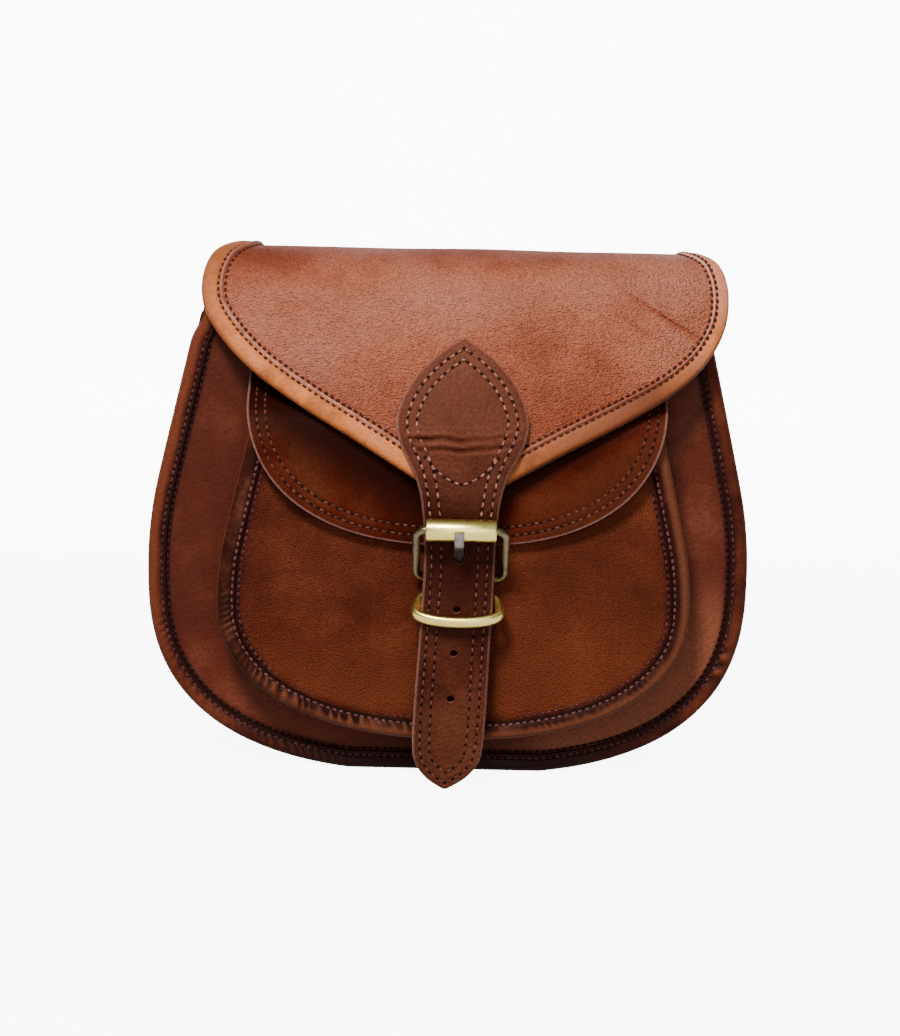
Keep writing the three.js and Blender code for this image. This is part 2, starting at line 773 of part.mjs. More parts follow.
function closureStrap() {
  const line = new THREE.CatmullRomCurve3(STRAP_LINE.map(({ y, z }) => new THREE.Vector3(0, y, z)));
  const length = line.getLength();
  const widths = [
    ...SPADE.map(({ down, half }) => new THREE.Vector2(half, down)),
    new THREE.Vector2(SPADE.at(-1).half, length * 0.65), // half way down its straight part
    ...TAIL.map(({ up, half }) => new THREE.Vector2(half, length - up)),
  ];
  const edge = new THREE.SplineCurve(widths);
  const steps = 36;
  const columns = 4;
  const rows = [];
  for (let i = 0; i <= steps; i++) {
    const { x: half, y: down } = edge.getPointAt(i / steps);
    const p = line.getPointAt(THREE.MathUtils.clamp(down / length, 0, 1));
    const row = [];
    for (let j = 0; j <= columns; j++) {
      row.push(new THREE.Vector3(strapShift(p.z) + half * ((2 * j) / columns - 1), p.y, p.z));
    }
    rows.push(row);
  }
  const drill = 12; // longer than the strap is thick
  const middleY = STRAP_LINE.at(-3).y;
  const holes = HOLE_Z.map((z) =>
    new THREE.CylinderGeometry(HOLE_RADIUS, HOLE_RADIUS, drill, 10).translate(strapShift(z), middleY, z),
  );
  const slot = new THREE.BoxGeometry(2 * PRONG_SLOT.half, drill, PRONG_SLOT.high);
  slot.translate(strapShift(PRONG_SLOT.z), middleY, PRONG_SLOT.z);
  return cut(sheet(rows, STRAP), ...holes, slot);
}

// Buckle, keeper and the tab that holds them

function roller() {
  const { radius, half } = ROLLER;
  const bore = BUCKLE.wire + GAP;
  const profile = [
    new THREE.Vector2(bore, -half),
    new THREE.Vector2(radius, -half),
    new THREE.Vector2(radius, half),
    new THREE.Vector2(bore, half),
    new THREE.Vector2(bore, -half),
  ];
  return new THREE.LatheGeometry(profile, 20).rotateZ(Math.PI / 2);
}

function eye(radius, bore, half) {
  const ring = new THREE.Shape().absarc(0, 0, radius, 0, 2 * Math.PI);
  ring.holes.push(new THREE.Path().absarc(0, 0, bore, 0, 2 * Math.PI, true));
  return acrossX(ring, half);
}

function prong() {
  const finger = ribbon(
    PRONG_LINE.map(({ y, z }) => new THREE.Vector2(y, z)),
    PRONG.thick,
  );
  const ring = eye(PRONG.eye, BUCKLE.wire + GAP, PRONG.half);
  ring.translate(0, BUCKLE.pivot.y, BUCKLE.pivot.z);
  const bore = new THREE.CylinderGeometry(BUCKLE.wire + GAP, BUCKLE.wire + GAP, 4 * PRONG.half, 16);
  bore.rotateZ(Math.PI / 2).translate(0, BUCKLE.pivot.y, BUCKLE.pivot.z);
  return cut(join(acrossX(new THREE.Shape(finger), PRONG.half), ring), bore).translate(PRONG.shift, 0, 0);
}

// Two layers folded round the buckle's bar and the keeper's back bar, sewn down below them.
function chape() {
  const { half, layer, keeperLayer, tailZ, slot } = CHAPE;
  const pocketFace = (z) => -(halfDepth(z) + POCKET.depth + PANEL + POCKET.dome + GAP);
  const eyeRadius = BUCKLE.wire + GAP + layer;
  const keeperRadius = KEEPER.wire + GAP + keeperLayer;
  const topZ = BUCKLE.pivot.z;
  const outline = new THREE.Shape();
  outline.moveTo(pocketFace(tailZ), tailZ);
  outline.lineTo(pocketFace(tailZ) - 2 * layer, tailZ);
  outline.lineTo(KEEPER.back.y - keeperRadius + 1.6, KEEPER.back.z - keeperRadius - 1.5);
  outline.lineTo(KEEPER.back.y - keeperRadius, KEEPER.back.z);
  outline.absarc(BUCKLE.pivot.y, topZ, eyeRadius, Math.PI, 0, true);
  outline.lineTo(pocketFace(KEEPER.back.z), KEEPER.back.z);
  outline.holes.push(new THREE.Path().absarc(BUCKLE.pivot.y, topZ, BUCKLE.wire + GAP, 0, 2 * Math.PI));
  outline.holes.push(
    new THREE.Path().absarc(KEEPER.back.y, KEEPER.back.z, KEEPER.wire + GAP, 0, 2 * Math.PI),
  );
  const slotHigh = 2 * eyeRadius + 2;
  const notch = new THREE.BoxGeometry(2 * slot, 6 * eyeRadius, slotHigh);
  notch.translate(0, BUCKLE.pivot.y, topZ - PRONG.eye - GAP + slotHigh / 2);
  return cut(acrossX(outline, half), notch);
}

// A plain folded loop on the gusset's end, standing along the leaning side.
function strapLoop() {
  const { wide, wall, gap, high, tail } = STRAP_LOOP;
  const thick = gap + 2 * wall;
  const end = thick / 2;
  const outline = new THREE.Shape();
  outline.moveTo(0, -high - tail);
  outline.lineTo(0, -end);
  outline.absarc(end, -end, end, Math.PI, 0, true);
  outline.lineTo(thick, -high + end);
  outline.lineTo(wall * 1.4, -high - 3);
  outline.lineTo(wall * 1.4, -high - tail);
  const hole = new THREE.Path();
  hole.moveTo(wall, -high + wall + 1);
  hole.lineTo(thick - wall, -high + end + wall);
  hole.lineTo(thick - wall, -end);
  hole.absarc(end, -end, end - wall, 0, Math.PI, false);
  outline.holes.push(hole);
  const geometry = new THREE.ExtrudeGeometry(outline, { depth: wide, bevelEnabled: false, curveSegments: 6 });
  return geometry.translate(0, 0, -wide / 2).rotateX(Math.PI / 2);
}

// Assembly

function piece(name, geometry, finish) {
  const mesh = new THREE.Mesh(geometry, new THREE.MeshStandardMaterial(finish));
  mesh.name = name;
  return mesh;
}

const pouch = new THREE.Group();
pouch.add(
  piece("back_panel", backPanel(), LEATHER),
  piece("front_panel", frontPanel(), LEATHER),
  piece("gusset", gusset(), LEATHER),
  piece("front_binding", bodyBinding(-1, BODY_GATHERS), LEATHER),
  piece("back_binding", bodyBinding(1, []), LEATHER),
);

const bodyCurve = outlineCurve(BODY);
for (const [name, sideSign] of [
  ["strap_loop_left", -1],
  ["strap_loop_right", 1],
]) {
  const loop = piece(name, strapLoop(), LEATHER);
  const holder = new THREE.Group();
  const place = station(bodyCurve, sideSign < 0 ? STRAP_LOOP.share : 1 - STRAP_LOOP.share);
  const foot = inside(place, STRAP_LOOP.seat);
  holder.position.set(foot.x, 0, foot.y);
  holder.rotation.y = -sideSign * BODY.sideLean;
  if (sideSign < 0) loop.rotation.z = Math.PI;
  holder.add(loop);
  pouch.add(holder);
}

const pocket = new THREE.Group();
pocket.add(
  piece("pocket_gusset", pocketGusset(), LEATHER),
  piece("pocket_front", pocketFront(), LEATHER),
  piece("pocket_binding", pocketBinding(), DARK_LEATHER),
  piece("pocket_flap", pocketFlap(), LEATHER),
);

const flap = new THREE.Group();
flap.add(
  piece("main_flap", mainFlap(), LEATHER),
  piece("flap_binding", flapBinding(), TAN_LEATHER),
  piece("closure_strap", closureStrap(), DARK_LEATHER),
);

const hardware = new THREE.Group();
hardware.position.x = HARDWARE_SHIFT;
const rollerMesh = piece("buckle_roller", roller(), BRASS);
rollerMesh.position.set(0, BUCKLE.bar.y, BUCKLE.bar.z);
hardware.add(
  piece("buckle_frame", buckleFrame(), BRASS),
  rollerMesh,
  piece("buckle_prong", prong(), BRASS),
  piece("keeper_loop", keeperLoop(), BRASS),
  piece("buckle_chape", chape(), DARK_LEATHER),
);

const bag = new THREE.Group();
bag.add(pouch, pocket, flap, hardware);
const box = new THREE.Box3().setFromObject(bag);
bag.position.set(0, -(box.min.y + box.max.y) / 2, 0);

export default bag;
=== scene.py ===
"""A leather crossbody saddle bag, buckled shut, built in Blender around its solid model."""

import math

import bmesh
import bpy
import numpy as np
from mathutils import Matrix, Vector


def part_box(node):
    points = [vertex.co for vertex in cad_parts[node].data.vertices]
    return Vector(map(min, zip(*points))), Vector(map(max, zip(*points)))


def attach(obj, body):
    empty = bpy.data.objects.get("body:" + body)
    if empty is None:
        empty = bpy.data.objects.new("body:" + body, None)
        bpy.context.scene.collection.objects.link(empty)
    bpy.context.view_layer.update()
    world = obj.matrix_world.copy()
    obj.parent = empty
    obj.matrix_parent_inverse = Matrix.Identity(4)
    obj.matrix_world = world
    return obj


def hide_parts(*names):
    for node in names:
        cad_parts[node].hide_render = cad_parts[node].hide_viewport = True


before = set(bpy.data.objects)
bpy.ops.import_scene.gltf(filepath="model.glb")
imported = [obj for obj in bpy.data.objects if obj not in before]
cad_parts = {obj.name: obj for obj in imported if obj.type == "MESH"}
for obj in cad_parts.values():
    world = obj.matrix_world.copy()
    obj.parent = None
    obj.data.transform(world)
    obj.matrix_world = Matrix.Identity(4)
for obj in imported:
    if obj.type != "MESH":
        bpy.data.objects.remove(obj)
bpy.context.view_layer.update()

# Studio
# A pale floor that sweeps up behind the bag, a lamp high in front of it that throws the shadow under
# the flap, a broad weak fill, and a camera at the photograph's height, tilt and distance.

PHOTO_LONG_SIDE = 1036  # pixels
PHOTO_FOCAL_LENGTH = 2349  # pixels
SENSOR = 36  # mm, along the long side
CAMERA_DISTANCE = 0.9
CAMERA_ELEVATION = math.radians(10)
CAMERA_ROLL = math.radians(1.3)
CAMERA_TARGET = Vector((0.0005, -0.0055, 0.0999))
BAG_MIDDLE = (0, 0, 0.1)
BACKDROP_MIDDLE = (0, 2.1, 0.95)
FLOOR_HALF = 3.0
SWEEP_START = 1.4  # metres behind the bag
SWEEP_RADIUS = 1.2
FLOOR_WHITE = (0.9, 0.9, 0.9, 1)
FLOOR_BOUNCE = (0.2, 0.2, 0.2, 1)  # what the floor throws back on the bag
FLOOR_GLOW = 9
FLOOR_IN_METAL = 0.11  # the share of its glow that polished metal mirrors


def add_object(name, data):
    made = bpy.data.objects.new(name, data)
    bpy.context.scene.collection.objects.link(made)
    return made


forward = Vector((0, math.cos(CAMERA_ELEVATION), -math.sin(CAMERA_ELEVATION)))
level = Vector((1, 0, 0))
upward = level.cross(forward)
camera_x = level * math.cos(CAMERA_ROLL) + upward * math.sin(CAMERA_ROLL)
camera_y = upward * math.cos(CAMERA_ROLL) - level * math.sin(CAMERA_ROLL)
camera = add_object("camera", bpy.data.cameras.new("camera"))
camera.data.sensor_width = SENSOR
camera.data.lens = SENSOR * PHOTO_FOCAL_LENGTH / PHOTO_LONG_SIDE
camera.matrix_world = Matrix((camera_x, camera_y, -forward)).transposed().to_4x4()
camera.matrix_world.translation = CAMERA_TARGET - forward * CAMERA_DISTANCE
bpy.context.scene.camera = camera


def lamp(name, place, size, watts, aim=BAG_MIDDLE):
    light = bpy.data.lights.new(name, "AREA")
    light.shape = "DISK"
    light.size = size
    light.energy = watts
    holder = add_object(name, light)
    holder.location = place
    holder.rotation_euler = (Vector(aim) - Vector(place)).to_track_quat("-Z", "Y").to_euler()


lamp("lamp_above", (-0.26, -0.84, 1.06), size=0.3, watts=22)
lamp("lamp_front", (0.1, -1.45, 0.42), size=1.2, watts=8)
lamp("lamp_back_left", (-1.0, 0.9, 0.6), size=0.6, watts=6)
lamp("lamp_back_right", (1.0, 0.9, 0.6), size=0.6, watts=6)
lamp("lamp_backdrop", (0, 0.7, 1.4), size=0.8, watts=120, aim=BACKDROP_MIDDLE)


def wire(tree, made, links):
    """Links a node's inputs, by name or number, to other nodes, or gives them a value."""
    for key, source in dict(links).items():
        if isinstance(source, bpy.types.NodeSocket):
            tree.links.new(source, made.inputs[key])
        else:
            made.inputs[key].default_value = source
    return made


def node(tree, kind, links=(), **settings):
    """A new node with its properties set and its inputs wired."""
    made = tree.nodes.new(kind)
    for key, value in settings.items():
        setattr(made, key, value)
    return wire(tree, made, links)


def first(tree, kind, links=(), **settings):
    """The first output of a new node."""
    return node(tree, kind, links, **settings).outputs[0]


def maths(tree, operation, *values):
    return first(tree, "ShaderNodeMath", enumerate(values), operation=operation)


def new_material(name):
    """A material, its nodes and its shader."""
    made = bpy.data.materials.new(name)
    made.use_nodes = True
    return made, made.node_tree, made.node_tree.nodes["Principled BSDF"]


world = bpy.data.worlds.new("studio")
bpy.context.scene.world = world
world.use_nodes = True
wire(world.node_tree, world.node_tree.nodes["Background"], {"Color": (1, 1, 1, 1), "Strength": 0.2})

turn = np.linspace(0, math.pi / 2, 24)
sweep_y = np.r_[-FLOOR_HALF, SWEEP_START + SWEEP_RADIUS * np.sin(turn), SWEEP_START + SWEEP_RADIUS]
sweep_z = np.r_[0, SWEEP_RADIUS * (1 - np.cos(turn)), 3 * SWEEP_RADIUS]
floor_mesh = bpy.data.meshes.new("floor")
floor_mesh.from_pydata(
    [(x, y, z) for y, z in zip(sweep_y, sweep_z) for x in (-FLOOR_HALF, FLOOR_HALF)],
    [],
    [(2 * i, 2 * i + 1, 2 * i + 3, 2 * i + 2) for i in range(len(sweep_y) - 1)],
)
floor_mesh.shade_smooth()
floor = add_object("floor", floor_mesh)

floor_paint, paint, white = new_material("floor_paint")
wire(paint, white, {"Base Color": FLOOR_WHITE, "Roughness": 0.8, "Specular IOR Level": 0.1})
wire(paint, white, {"Emission Color": FLOOR_WHITE, "Emission Strength": FLOOR_GLOW})
bounce = first(paint, "ShaderNodeBsdfDiffuse", {"Color": FLOOR_BOUNCE})
ray = node(paint, "ShaderNodeLightPath").outputs
straight = maths(paint, "MULTIPLY_ADD", ray["Is Glossy Ray"], FLOOR_IN_METAL, ray["Is Camera Ray"])
either = first(paint, "ShaderNodeMixShader", {0: straight, 1: bounce, 2: white.outputs["BSDF"]})
wire(paint, paint.nodes["Material Output"], {"Surface": either})
floor_mesh.materials.append(floor_paint)

# Pouch panels
# The back and front of the pouch are two flat pieces of dyed cowhide, cut to a D that stands on its
# round side. They lean together towards the mouth, and their edge is sewn into the bindings.

MM = 0.001
PANEL = 1.8  # mm of leather
HALF_DEPTH_BASE, HALF_DEPTH_TOP = 26, 18
BODY = dict(half=115.9, widest=79, bottom=-1.6, top=180, power=2.62, lean=13, side_radius=155)
BODY_MIDDLE = 90
EDGE_INSET = 1.5  # the panels stop inside the fold of the binding
FRONT_TOP = 176
BACK_DOME = 3
LOW_LEFT_LIGHT, LOW_RIGHT_LIGHT = 0.2, 1.2  # painted light on the front's lower corners, where the pocket's shadow falls
DARK_LEFT = 0.3  # and its left side is darker higher up
SEAM = 6.8  # mm from the edge to the middle of the two rows
SEAM_SHADE_WIDTH = 1.8  # mm to each side of it over which the stitched groove is darkened as painted shade
SPECKS = 900.0  # dark specks of dye, for each metre
RUB = 0.08  # how far rubbing has changed the leather's roughness

gusset_low, gusset_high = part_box("gusset")
POUCH_MIDDLE_Y = (gusset_low.y + gusset_high.y) / 2


def half_depth(z):
    return HALF_DEPTH_BASE + (HALF_DEPTH_TOP - HALF_DEPTH_BASE) * z / BODY["top"]


def smoothstep(value, low, high):
    t = np.clip((np.asarray(value, float) - low) / (high - low), 0, 1)
    return t * t * (3 - 2 * t)


def bell(value, middle, width):
    """1 at the middle, falling smoothly to 0 on both sides."""
    return np.exp(-(((value - middle) / width) ** 2))


def unit(vectors):
    return vectors / (np.linalg.norm(vectors, axis=-1, keepdims=True) + 1e-12)


def left_of(along):
    """Unit vectors a quarter turn to the left of flat directions."""
    along = unit(along)
    return np.column_stack([-along[:, 1], along[:, 0]])


def measured(points):
    """A line: the distance along it at each of its points, and the points."""
    return np.r_[0, np.cumsum(np.linalg.norm(np.diff(points, axis=0), axis=1))], points


def smooth_line(knots, count=1500):
    """A smooth line through the knots."""
    knots = np.asarray(knots, float)
    step = np.linalg.norm(np.diff(knots, axis=0), axis=1) ** 0.5
    at = np.r_[0, np.cumsum(step)]
    slope = np.diff(knots, axis=0) / step[:, None]
    before, after = step[:-1, None], step[1:, None]
    inner = (slope[:-1] * after + slope[1:] * before) / (before + after)
    tangent = np.vstack([slope[:1], inner, slope[-1:]])
    t = np.linspace(0, at[-1], count)
    i = np.clip(np.searchsorted(at, t, side="right") - 1, 0, len(step) - 1)
    h = step[i][:, None]
    s = ((t - at[i]) / step[i])[:, None]
    points = (1 + 2 * s) * (1 - s) ** 2 * knots[i] + s * (1 - s) ** 2 * h * tangent[i]
    points += s * s * (3 - 2 * s) * knots[i + 1] + s * s * (s - 1) * h * tangent[i + 1]
    return measured(points)


def at_distance(line, distance):
    length, points = line
    return np.stack([np.interp(distance, length, column) for column in points.T], -1)


def evenly(line, count):
    """Points the same distance apart along a line."""
    return at_distance(line, np.linspace(0, line[0][-1], count))


def d_line(half, widest, bottom, top, power, lean, side_radius):
    """The whole D from its top left corner, round the bottom, to its top right corner."""
    lean = math.radians(lean)
    bend = np.array([1, 0.75, 0.5, 0.25]) * lean
    side_x = half - side_radius * (1 - np.cos(bend))
    side_z = widest + side_radius * np.sin(bend)
    top_x = side_x[0] - (top - side_z[0]) * math.tan(lean)
    around = np.linspace(0, math.pi / 2, 15)
    low_x = half * np.cos(around).clip(0) ** (2 / power)
    low_z = widest - (widest - bottom) * np.sin(around) ** (2 / power)
    right = np.column_stack([np.r_[top_x, side_x, low_x], np.r_[top, side_z, low_z]])
    return smooth_line(np.vstack([right[:-1] * [-1, 1], right[::-1]]))


def seam(shape, spacing):
    """Places round a D, flattened on the floor: distance, point and the direction out of the D."""
    line = d_line(**shape)
    total = line[0][-1]

    def grounded(distance):
        flat = at_distance(line, np.clip(distance, 0, total))
        flat[:, 1] = np.maximum(flat[:, 1], 0)
        return flat

    distance = np.linspace(0, total, round(total / spacing) + 1)
    return distance, grounded(distance), -left_of(grounded(distance + 1.2) - grounded(distance - 1.2))


def inset(places, depth):
    """Points inside the edge at each place, one column for each depth."""
    _, point, out = places
    return point[:, None] - out[:, None] * np.atleast_2d(depth)[..., None]


def on_pouch(flat, out, side=-1, shift=0):
    """Points carried on the pouch's front (side -1) or back (side 1), `out` mm off its face."""
    x, z = flat[..., 0], flat[..., 1]
    return np.stack([x + shift, side * (half_depth(z) + out), z], -1)


def undulation(x, z, height, seed, wavelength=55):
    """The slow rise and fall of hand-cut leather."""
    draw = np.random.default_rng(seed)
    total = np.zeros(np.broadcast(x, z).shape)
    for _ in range(6):
        angle, phase = draw.uniform(0, 2 * math.pi, 2)
        wave = 2 * math.pi / (wavelength * draw.uniform(0.6, 1.6))
        total += np.sin(wave * (x * math.cos(angle) + z * math.sin(angle)) + phase)
    return height * total / 6


def grid_faces(rows, columns, wrap=False):
    i, j = np.meshgrid(np.arange(rows - 1), np.arange(columns if wrap else columns - 1), indexing="ij")
    k = (j + 1) % columns
    quads = np.stack([i * columns + j, i * columns + k, (i + 1) * columns + k, (i + 1) * columns + j], -1)
    return quads.reshape(-1, 4)


def closed_rings(outer, inner):
    """A sheet given as rings from its edge to its middle, on its two faces."""
    rings, around = outer.shape[:2]
    count = rings * around
    quads = grid_faces(rings, around, wrap=True)
    here = np.arange(around)
    after = np.roll(here, -1)
    rim = np.column_stack([here, here + count, after + count, after])
    middle = np.arange(count - around, count)
    faces = [*quads.tolist(), *(quads[:, ::-1] + count).tolist(), *rim.tolist()]
    faces += [middle.tolist(), (middle[::-1] + count).tolist()]
    return np.concatenate([outer.reshape(-1, 3), inner.reshape(-1, 3)]), faces


def in_frame(points):
    """Points in mm about the pouch's middle, put in the row's frame."""
    return (np.asarray(points) * MM + [0, POUCH_MIDDLE_Y, 0]).tolist()


def outward_mesh(name, points, faces):
    mesh = bpy.data.meshes.new(name)
    mesh.from_pydata(in_frame(points), [], faces)
    shape = bmesh.new()
    shape.from_mesh(mesh)
    bmesh.ops.recalc_face_normals(shape, faces=shape.faces)
    shape.to_mesh(mesh)
    shape.free()
    return mesh


def fit(name, mesh, replaced=None):
    """A piece of the bag, put on the root, with the solid that it stands for hidden."""
    made = add_object(name, mesh)
    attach(made, "root")
    if replaced:
        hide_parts(replaced)
    return made


def add_piece(name, points, faces, materials, slot, replaced, sharp=50, edge_faces=(), **carried):
    """A finished piece, its cut edge in its second material, and the values that its points carry."""
    mesh = outward_mesh(name, points, faces)
    mesh.shade_smooth()
    mesh.set_sharp_from_angle(angle=math.radians(sharp))
    for material in materials:
        mesh.materials.append(material)
    if len(materials) > 1:
        mesh.polygons.foreach_set("material_index", np.asarray(edge_faces, np.int32))
    for label, values in carried.items():
        values = np.full(len(points), values, np.float32)
        mesh.attributes.new(label, "FLOAT", "POINT").data.foreach_set("value", values)
    return fit(name, mesh, replaced)


def srgb(shown):
    """A colour as the photograph shows it, from 0 to 255, made linear."""
    shown = np.array(shown) / 255
    linear = np.where(shown <= 0.04045, shown / 12.92, ((shown + 0.055) / 1.055) ** 2.4)
    return (*linear, 1)


def shader_group(name, inputs, outputs):
    """A new group with named sockets: the group, what it is given and where its results go."""
    group = bpy.data.node_groups.new(name, "ShaderNodeTree")
    for way, sockets in (("INPUT", inputs), ("OUTPUT", outputs)):
        for label, kind in sockets.items():
            group.interface.new_socket(label, in_out=way, socket_type="NodeSocket" + kind)
    return group, group.nodes.new("NodeGroupInput").outputs, group.nodes.new("NodeGroupOutput")


def object_place(tree):
    return node(tree, "ShaderNodeTexCoord").outputs["Object"]


def noise(tree, vector, scale, **settings):
    return first(tree, "ShaderNodeTexNoise", {"Vector": vector, "Scale": scale, **settings})


def map_range(tree, value, low, high, least=0.0, most=1.0):
    links = {"Value": value, "From Min": low, "From Max": high, "To Min": least, "To Max": most}
    return first(tree, "ShaderNodeMapRange", links)


def mix_colour(tree, factor, first, second):
    return node(tree, "ShaderNodeMix", {0: factor, 6: first, 7: second}, data_type="RGBA").outputs[2]


def relief_of(tree, height, strength, distance):
    return first(tree, "ShaderNodeBump", {"Height": height, "Strength": strength, "Distance": distance})


def hide_grain_group():
    """Fine pebbled grain, its pores and the longer wrinkles between them, as one height."""
    group, given, result = shader_group(
        "hide_grain",
        dict(Vector="Vector", Pebble="Float", Wrinkle="Float", Crease="Float"),
        dict(Height="Float", Crevice="Float"),
    )
    vector, scale = given["Vector"], given["Pebble"]
    links = {"Vector": vector, "Scale": scale, "Smoothness": 0.6}
    pebble = first(group, "ShaderNodeTexVoronoi", links, feature="SMOOTH_F1")
    fibre = noise(group, vector, scale, Detail=3.0)
    fold = noise(group, vector, given["Wrinkle"], Detail=4.0, Roughness=0.6, Distortion=0.4)
    ridge = maths(group, "ABSOLUTE", maths(group, "SUBTRACT", fold, 0.5))
    ridge = maths(group, "MULTIPLY", ridge, given["Crease"])
    fine = maths(group, "MULTIPLY_ADD", fibre, 0.5, maths(group, "MULTIPLY", pebble, -0.55))
    height = maths(group, "ADD", fine, ridge)
    wire(group, result, {"Height": height, "Crevice": map_range(group, fine, 0.16, -0.2)})
    return group


def hide_dye_group():
    """Hand-rubbed dye: broad clouds, small blotches and specks, darker towards the piece's rim."""
    colours = ("Colour", "Deep", "Pale", "Worn Lit Edge")
    values = ("Cloud", "Cloud Amount", "Speck Amount", "Worn Lit Rim", "Rim", "Rim Width", "Rim Amount")
    inputs = dict(Vector="Vector", Tone="Float")
    inputs |= dict.fromkeys(colours, "Color") | dict.fromkeys(values, "Float")
    group, given, result = shader_group("hide_dye", inputs, dict(Colour="Color", Rub="Float"))
    cloud = noise(group, given["Vector"], given["Cloud"], Detail=5.0, Roughness=0.62)
    speck = noise(group, given["Vector"], SPECKS, Detail=2.0, Roughness=0.7)
    uneven_rim = maths(group, "MULTIPLY_ADD", cloud, 10.0, given["Rim"])
    toned = given["Colour"]
    for value, low, high, most, dye in (
        (cloud, 0.5, 0.3, given["Cloud Amount"], "Deep"),
        (cloud, 0.5, 0.72, given["Cloud Amount"], "Pale"),
        (speck, 0.5, 0.34, given["Speck Amount"], "Deep"),
        (uneven_rim, given["Rim Width"], 3.0, given["Rim Amount"], "Deep"),
        (given["Tone"], 0.0, 1.0, 1.0, "Pale"),
        (given["Tone"], 0.0, -1.0, 1.0, "Deep"),
        # The worn, lit rim: edge wear, partly a painted highlight where the edge catches light
        (given["Rim"], 0.8, 0.4, given["Worn Lit Rim"], "Worn Lit Edge"),
    ):
        toned = mix_colour(group, map_range(group, value, low, high, most=most), toned, given[dye])
    wire(group, result, {"Colour": toned, "Rub": cloud})
    return group


hide_grain = hide_grain_group()
hide_dye = hide_dye_group()


def dyed_leather(
    name, colour, deep, pale, worn_lit_edge=None, roughness=0.5, shine=0.09, gloss=0.02, pebble=1100, wrinkle=160,
    crease=0.5, stretch=1.0, relief=0.25, depth=0.0008, cloud=28, blotch=0.85, speck=0.3, crevice=0.3,
    rim_width=12, rim_amount=0.5, worn_lit_rim=0.0,
):
    """A dyed and waxed hide, its colours as the photograph shows them.

    The distance from its edge that a piece carries darkens its rim, or turns the last millimetre of it
    another colour: edge wear, partly a painted highlight where the edge catches light. The tone that it
    carries goes from -1, the deep colour, to 1, the pale one, and holds painted light and shade as well as
    uneven colour. A stretched grain runs across the piece."""
    leather, tree, skin = new_material(name)
    colour, deep, pale, worn_lit_edge = (srgb(shown) for shown in (colour, deep, pale, worn_lit_edge or pale))
    place = object_place(tree)
    rim, tone = (node(tree, "ShaderNodeAttribute", attribute_name=label) for label in ("rim", "tone"))
    links = {"Vector": place, "Rim": rim.outputs["Fac"], "Tone": tone.outputs["Fac"]}
    links |= {"Colour": colour, "Deep": deep, "Pale": pale, "Worn Lit Edge": worn_lit_edge, "Worn Lit Rim": worn_lit_rim}
    links |= {"Cloud": cloud, "Cloud Amount": blotch, "Speck Amount": speck}
    links |= {"Rim Width": rim_width, "Rim Amount": rim_amount}
    dye = node(tree, "ShaderNodeGroup", links, node_tree=hide_dye).outputs
    across = first(tree, "ShaderNodeMapping", {"Vector": place, "Scale": (1, stretch, stretch)})
    links = {"Vector": across, "Pebble": pebble, "Wrinkle": wrinkle, "Crease": crease}
    grain = node(tree, "ShaderNodeGroup", links, node_tree=hide_grain).outputs
    # Darker in the grain's hollows: painted shade, partly dye gathered in the pores
    hollow = maths(tree, "MULTIPLY", grain["Crevice"], crevice)
    rubbed = map_range(tree, dye["Rub"], 0.3, 0.7, roughness + RUB, roughness - RUB)
    wire(tree, skin, {"Base Color": mix_colour(tree, hollow, dye["Colour"], deep), "Roughness": rubbed})
    wire(tree, skin, {"Normal": relief_of(tree, grain["Height"], relief, depth)})
    wire(tree, skin, {"Specular IOR Level": shine, "Coat Weight": gloss, "Coat Roughness": 0.35})
    return leather


def rim_distance(flat, outline, chunk=4000):
    """Distance in mm from each flat point to the nearest point of an outline."""
    points = flat.reshape(-1, 2)
    parts = [points[start : start + chunk] for start in range(0, len(points), chunk)]
    nearest = [np.linalg.norm(part[:, None] - outline[None], axis=2).min(1) for part in parts]
    return np.concatenate(nearest).reshape(flat.shape[:-1])


def pouch_panel(shape, middle, top, lift_at, side=-1, out=0, shift=0):
    """A panel cut to a D: its points and faces, and each point's distance from its edge.

    Its lift off the pouch's face is given for x, z and the share of the way out from its middle."""
    edge = inset(seam(shape, spacing=1.6), EDGE_INSET)[:, 0]
    edge[:, 1] = np.minimum(edge[:, 1], top)
    mouth = edge[-1] + (edge[0] - edge[-1]) * np.linspace(0, 1, 60)[1:-1, None]
    ring = np.vstack([edge, mouth])
    share = 1 - np.r_[np.arange(0, 14, 1.2), np.arange(14, 98, 3.5)][:, None] / 100
    flat = [0, middle] + (ring - [0, middle]) * share[..., None]
    lift = out + lift_at(flat[..., 0], flat[..., 1], share)
    outer, inner = (on_pouch(flat, height, side, shift) for height in (lift, lift - PANEL))
    return *closed_rings(outer, inner), np.tile(rim_distance(flat, ring).ravel(), 2)


panel_leather = dyed_leather(
    "panel_leather", (93, 37, 20), (60, 21, 10), (142, 78, 54), roughness=0.46, relief=0.5, blotch=0.6,
    crevice=0.35, rim_width=16, rim_amount=0.6,
)


def front_lift(x, z, share):
    return undulation(x, z, height=0.25, seed=3)


points, faces, rim = pouch_panel(BODY, BODY_MIDDLE, FRONT_TOP, front_lift)
x, _, z = points.T
# Painted light on the lower corners beside the pocket, where its shadow falls
left = LOW_LEFT_LIGHT - (LOW_LEFT_LIGHT + DARK_LEFT) * smoothstep(z, 20, 60)
right = LOW_RIGHT_LIGHT * (1 - smoothstep(z, 40, 90))
# Painted shade along the stitched groove
tone = np.where(x < 0, left, right) * smoothstep(np.abs(x), 20, 50) - bell(rim + EDGE_INSET, SEAM, SEAM_SHADE_WIDTH)
add_piece(
    "pouch_front", points, faces, [panel_leather], "leather_body", "front_panel", rim=rim, tone=tone
)


def back_lift(x, z, share):
    return BACK_DOME * (1 - share**2) + undulation(x, z, height=0.5, seed=5)


points, faces, rim = pouch_panel(BODY, BODY_MIDDLE, BODY["top"], back_lift, side=1)
